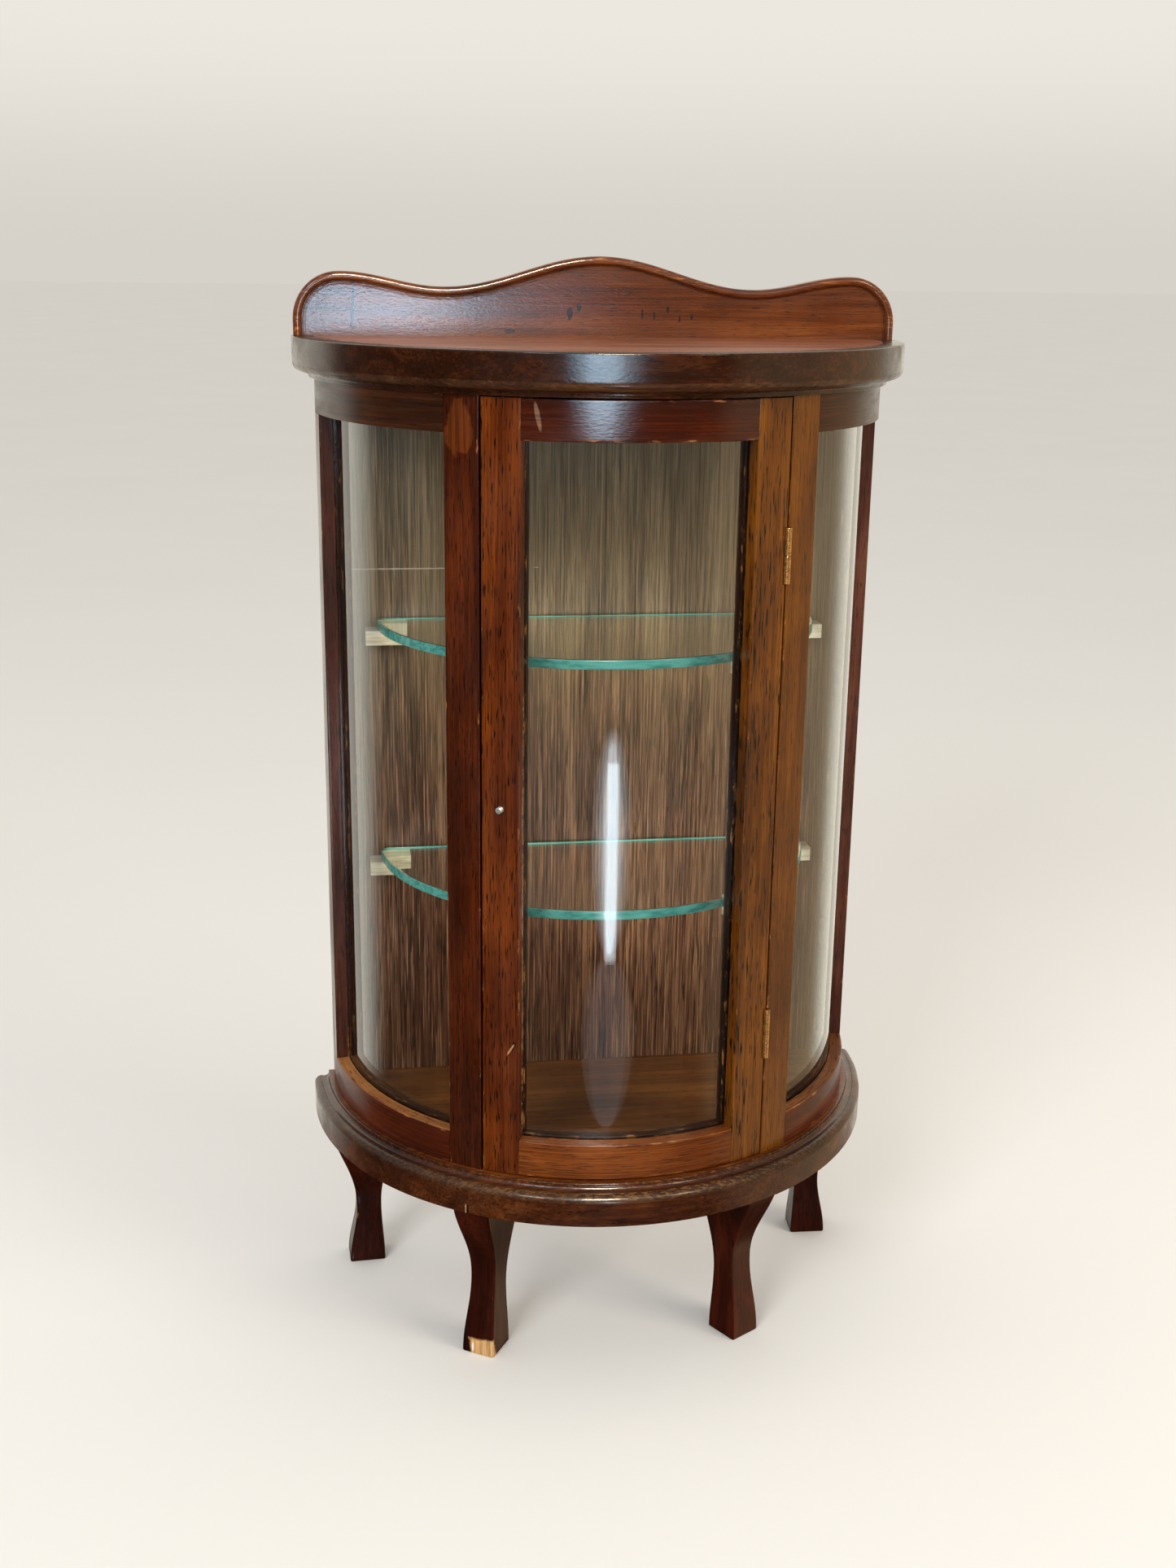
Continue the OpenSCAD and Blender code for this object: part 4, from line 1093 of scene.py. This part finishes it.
half, gap, blunt = HINGE_H / 2, KNUCKLE_GAP, 0.7 * MM
pin_end = [(0, 0), (0, blunt), (0.2 * MM, HINGE_PIN_R)]
pin_line = [(-half + h, r) for h, r in pin_end] + [(half - h, r) for h, r in pin_end[::-1]]
for word, z in zip(("lower", "upper"), HINGE_Z):
    hinge = (("frame_leaf", "cabinet", together(leaf(RIGHT, -half, half, -half, -gap), knuckle(-half, -gap))),
             ("door_leaf", "door", together(leaf(LEFT, -half, half, gap, half), knuckle(gap, half))),
             ("pin", "cabinet", lathe_mesh(pin_line, ORIGIN, UP, 20)))
    for part, body, mesh in hinge:
        piece(f"{word}_hinge_{part}", "brass", body, at_pin(mesh, z), [BRASS])
for side, body, node in ((RIGHT, "cabinet", "hinge_frame_screws"), (LEFT, "door", "hinge_door_screws")):
    screws = [at_pin(screw(side, dz), z) for z in HINGE_Z for dz in (-SCREW_Z, SCREW_Z)]
    piece(node, "steel", body, together(*screws), [STEEL])


# ---- knob screw, catch and strike plate ----
def threaded(profile, thread, pitch, depth, centre, axis):
    """Turned solid whose stretch from thread[0] to thread[1] carries a helical thread."""
    rows = []
    for (h0, r0), (h1, r1) in zip(profile, profile[1:]):
        steps = max(1, int(abs(h1 - h0) / (pitch / 6))) if thread[0] <= (h0 + h1) / 2 <= thread[1] else 1
        rows += [(h0 + (h1 - h0) * k / steps, r0 + (r1 - r0) * k / steps) for k in range(steps)]
    rows.append(profile[-1])
    v, f, w, g = lathe_mesh(rows, centre, axis, 24)
    along = Vector(axis).normalized()
    side = along.orthogonal().normalized()
    other = along.cross(side)
    for i, p in enumerate(v):
        d = Vector(p) - Vector(centre)
        h = d.dot(along)
        off = d - along * h
        if thread[0] < h < thread[1] and off.length > 1e-6:
            phase = (h / pitch - math.atan2(off.dot(other), off.dot(side)) / (2 * math.pi)) % 1
            cut = depth * (1 - abs(2 * phase - 1))
            v[i] = np.array(Vector(centre) + along * h + off * (1 - cut / off.length))
    return v, f, w, g


KNOB_A = math.radians(-25.8)
knob_axis = Vector((math.sin(KNOB_A), -math.cos(KNOB_A), 0))
knob_from = Vector((0, CENTRE_Y, (DOOR_Z0 + DOOR_Z1) / 2)) + knob_axis * INNER_R
KNOB_SCREW = [(-2.4, 0), (-2.4, 2.4), (-2.0, 3.5), (-1.3, 4.0), (-0.1, 4.0), (0.0, 2.2), (15.0, 2.2),
              (19.0, 2.2), (19.02, 2.0), (22.5, 2.0), (23.0, 1.45), (23.0, 0)]
THREAD, THREAD_PITCH, THREAD_DEPTH = (12 * MM, 22.4 * MM), 0.7 * MM, 0.32 * MM
knob = threaded(in_mm(KNOB_SCREW), THREAD, THREAD_PITCH, THREAD_DEPTH, knob_from, knob_axis)
piece("knob_screw", "steel", "door", knob, [STEEL])

CATCH_A = math.radians(-18)
STRIKE_R, STRIKE_T = INNER_R - 0.3 * MM, 0.8 * MM
CATCH_R = STRIKE_R - STRIKE_T - 0.4 * MM


def at_catch(x0, x1, y0, y1, drop0, drop1, radius):
    """A block under the roof, turned to the catch's place; y is measured from the arcs' centre."""
    lo, hi = (x0 * MM, y0, ROOF_Z - drop0 * MM), (x1 * MM, y1, ROOF_Z - drop1 * MM)
    return block_mesh(lo, hi, radius=radius * MM, turn=CATCH_A, shift=(0, CENTRE_Y, 0))


magnets = [at_catch(x, x + 1.2, -CATCH_R, -CATCH_R + 2 * MM, 10, 2, 0.2) for x in (-5.2, 4.0)]
catch = together(at_catch(-10, 10, -CATCH_R + 0.5 * MM, -CATCH_R + 14 * MM, 12, 0, 0.8), *magnets)
piece("door_catch", "body", "cabinet", catch, [BLACK])
plate = at_catch(-8, 8, -STRIKE_R, -STRIKE_R + STRIKE_T, 12, 2, 0.3)
piece("catch_strike_plate", "steel", "door", plate, [STEEL])

# ---- hidden dowels stay as packed ----
for node in ("leg_dowels", "crest_dowels", "stile_dowels"):
    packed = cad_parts[node]
    packed.data.materials.clear()
    packed.data.materials.append(DOWEL)

# ---- floor ----
FLOOR_REACH = 40.0
floor_mesh = bpy.data.meshes.new("floor")
floor_corners = [(x * FLOOR_REACH, y * FLOOR_REACH, 0) for x, y in ((-1, -1), (1, -1), (1, 1), (-1, 1))]
floor_mesh.from_pydata(floor_corners, [], [(0, 1, 2, 3)])
floor = bpy.data.objects.new("floor", floor_mesh)
bpy.context.scene.collection.objects.link(floor)
paper = Nodes("floor_paper")
mottle = paper.noise(paper.place(), (1.5, 1.5, 1.5), 2)
paper.set(Base_Color=paper.mix(mottle, (0.86, 0.84, 0.80, 1), (0.90, 0.88, 0.84, 1)))
paper.set(Roughness=0.7, Specular_IOR_Level=0.0)
floor_mesh.materials.append(paper.material)
# A mirrored floor would grey the lacquer, so reflections look past it to the studio's own colours.
floor.visible_glossy = False
floor.visible_transmission = False

# ---- lamps ----
COOL, SKY, PALE_SKY, DEEP_SKY = (0.76, 0.90, 1.0), (0.58, 0.81, 1.0), (0.85, 0.92, 1.0), (0.38, 0.72, 1.0)
CARD_Y, CARD_STEP = -0.83, 0.004


def lamp(name, place, aim, size, power, colour, size_y=None, shape="RECTANGLE", mirror_only=False):
    data = bpy.data.lights.new(name, "AREA")
    data.shape = shape
    data.size, data.size_y = size, size_y or size
    data.energy = power
    data.color = colour
    obj = bpy.data.objects.new(name, data)
    obj.location = place
    obj.rotation_mode = "QUATERNION"
    obj.rotation_quaternion = (Vector(aim) - Vector(place)).to_track_quat("-Z", "Y")
    obj.visible_camera = False
    obj.visible_diffuse = not mirror_only
    obj.visible_glossy = mirror_only
    bpy.context.scene.collection.objects.link(obj)


def cards(name, z, layers, colour, shape="ELLIPSE", y=CARD_Y):
    """Mirror-only lights, each a step nearer than the one before: (x, width, height, glow per area)."""
    for i, (x, width, height, glow) in enumerate(layers):
        area = width * height * (math.pi / 4 if shape == "ELLIPSE" else 1)
        at = y + CARD_STEP * i
        lamp(f"{name}_{i}", (x, at, z), (x, 0, z), width, glow * math.pi * area, colour, height, shape, True)


lamp("key", (-1.6, -2.3, 1.9), (0, 0, 0.4), 1.1, 44, (0.93, 0.97, 1.0))
lamp("fill", (1.9, -1.5, 1.3), (0, 0, 0.4), 1.2, 30, (1.0, 0.90, 0.78))
cards("streak", 0.128, [(-0.008, 0.25, 0.255, 0.5), (-0.008, 0.20, 0.249, 0.7), (-0.008, 0.155, 0.243, 1.0),
                        (-0.008, 0.12, 0.237, 1.5), (-0.008, 0.09, 0.231, 2.2)], COOL)
cards("streak_core", 0.118, [(-0.004, 0.076, 0.215, 2.8), (-0.004, 0.056, 0.22, 2.8)], COOL, "RECTANGLE",
      y=-0.80)
cards("under_streak", -0.10, [(-0.012, 0.34, 0.20, 0.25), (-0.012, 0.24, 0.20, 0.22)], PALE_SKY)
cards("brow", 0.625, [(-0.11, 0.40, 0.15, 2.2), (-0.11, 0.28, 0.148, 4.0), (-0.11, 0.18, 0.14, 6.5)], SKY)
cards("crest_glow", 0.672, [(-0.07, 0.46, 0.062, 3.0), (-0.15, 0.28, 0.062, 6.0)], DEEP_SKY, y=-0.81)
cards("foot_glow", -0.50, [(-0.155, 0.07, 0.15, 5.0)], SKY)
lamp("glint_left", (-0.9, -1.5, 1.5), (0, 0, 0.4), 0.35, 6, (0.9, 0.95, 1.0), mirror_only=True)
lamp("glint_right", (0.9, -1.4, 1.3), (0, 0, 0.3), 0.3, 5, (1.0, 0.85, 0.62), mirror_only=True)
lamp("glint_front", (-0.05, -1.5, 1.5), (0, 0, 0.2), 0.4, 40, (1.0, 0.84, 0.60), mirror_only=True)

# ---- studio ----
world = bpy.data.worlds.new("studio")
world.use_nodes = True
bpy.context.scene.world = world
world.cycles.sampling_method = "NONE"
studio = world.node_tree


def feed(source, socket):
    """A colour or a link into a socket."""
    if isinstance(source, tuple):
        socket.default_value = source
    else:
        studio.links.new(source, socket)


def backdrop(colour):
    n = studio.nodes.new("ShaderNodeBackground")
    feed(colour, n.inputs["Color"])
    return n.outputs[0]


def ramped(value, low, high):
    n = studio.nodes.new("ShaderNodeMapRange")
    n.interpolation_type = "SMOOTHSTEP"
    n.inputs["From Min"].default_value, n.inputs["From Max"].default_value = low, high
    feed(value, n.inputs["Value"])
    return n.outputs["Result"]


def blended(factor, a, b):
    n = studio.nodes.new("ShaderNodeMix")
    n.data_type = "RGBA"
    for source, socket in ((factor, n.inputs["Factor"]), (a, n.inputs[6]), (b, n.inputs[7])):
        feed(source, socket)
    return n.outputs[2]


def chosen(factor, a, b):
    n = studio.nodes.new("ShaderNodeMixShader")
    for source, socket in zip((factor, a, b), n.inputs):
        feed(source, socket)
    return n.outputs[0]


towards = studio.nodes.new("ShaderNodeSeparateXYZ")
feed(studio.nodes.new("ShaderNodeTexCoord").outputs["Generated"], towards.inputs[0])
to_right, to_back, to_sky = towards.outputs
# What the lacquer and glass mirror: a dim warm room in front, a little skylight above it, pale walls behind.
front = blended(ramped(to_sky, 0.0, 0.35), (0.050, 0.026, 0.014, 1), (0.30, 0.36, 0.42, 1))
walls = blended(ramped(to_right, -0.4, 0.5), (1.28, 1.22, 1.06, 1), (1.32, 1.22, 1.02, 1))
walls = blended(ramped(to_sky, -0.52, -0.42), (0.03, 0.016, 0.010, 1), walls)
beside = blended(ramped(to_right, 0.58, 0.78), front, (0.62, 0.46, 0.28, 1))
mirrored_room = backdrop(blended(ramped(to_back, 0.40, 0.70), beside, walls))
rays = studio.nodes.new("ShaderNodeLightPath").outputs
# What the eye sees behind the floor, and the even light that falls on everything.
seen = backdrop(blended(ramped(to_sky, 0.0, 0.12), (0.672, 0.645, 0.586, 1), (0.84, 0.80, 0.74, 1)))
ambient = backdrop((0.74, 0.72, 0.69, 1))
lit = chosen(rays["Is Camera Ray"], ambient, seen)
feed(chosen(rays["Is Glossy Ray"], lit, mirrored_room), studio.nodes["World Output"].inputs["Surface"])
studio.nodes.remove(studio.nodes["Background"])

# ---- camera ----
EYE = Vector((-181.74 * MM, -1203.20 * MM + CENTRE_Y, 725.53 * MM))
YAW, PITCH, ROLL = 0.148, 0.288, 0.014
SENSOR, FOCAL_PER_HEIGHT = 36, 2200 / 1927
forward = Vector((math.sin(YAW) * math.cos(PITCH), math.cos(YAW) * math.cos(PITCH), -math.sin(PITCH)))
level = Vector((math.cos(YAW), -math.sin(YAW), 0))
rise = level.cross(forward)
right = level * math.cos(ROLL) + rise * math.sin(ROLL)
up = rise * math.cos(ROLL) - level * math.sin(ROLL)
cam_data = bpy.data.cameras.new("camera")
cam_data.sensor_width = SENSOR
cam_data.lens = SENSOR * FOCAL_PER_HEIGHT
cam_data.clip_start, cam_data.clip_end = 0.05, 200
camera = bpy.data.objects.new("camera", cam_data)
bpy.context.scene.collection.objects.link(camera)
camera.matrix_world = Matrix([[*axes] for axes in zip(right, up, -forward, EYE)] + [[0, 0, 0, 1]])
bpy.context.scene.camera = camera
bpy.context.scene.view_settings.view_transform = "Standard"
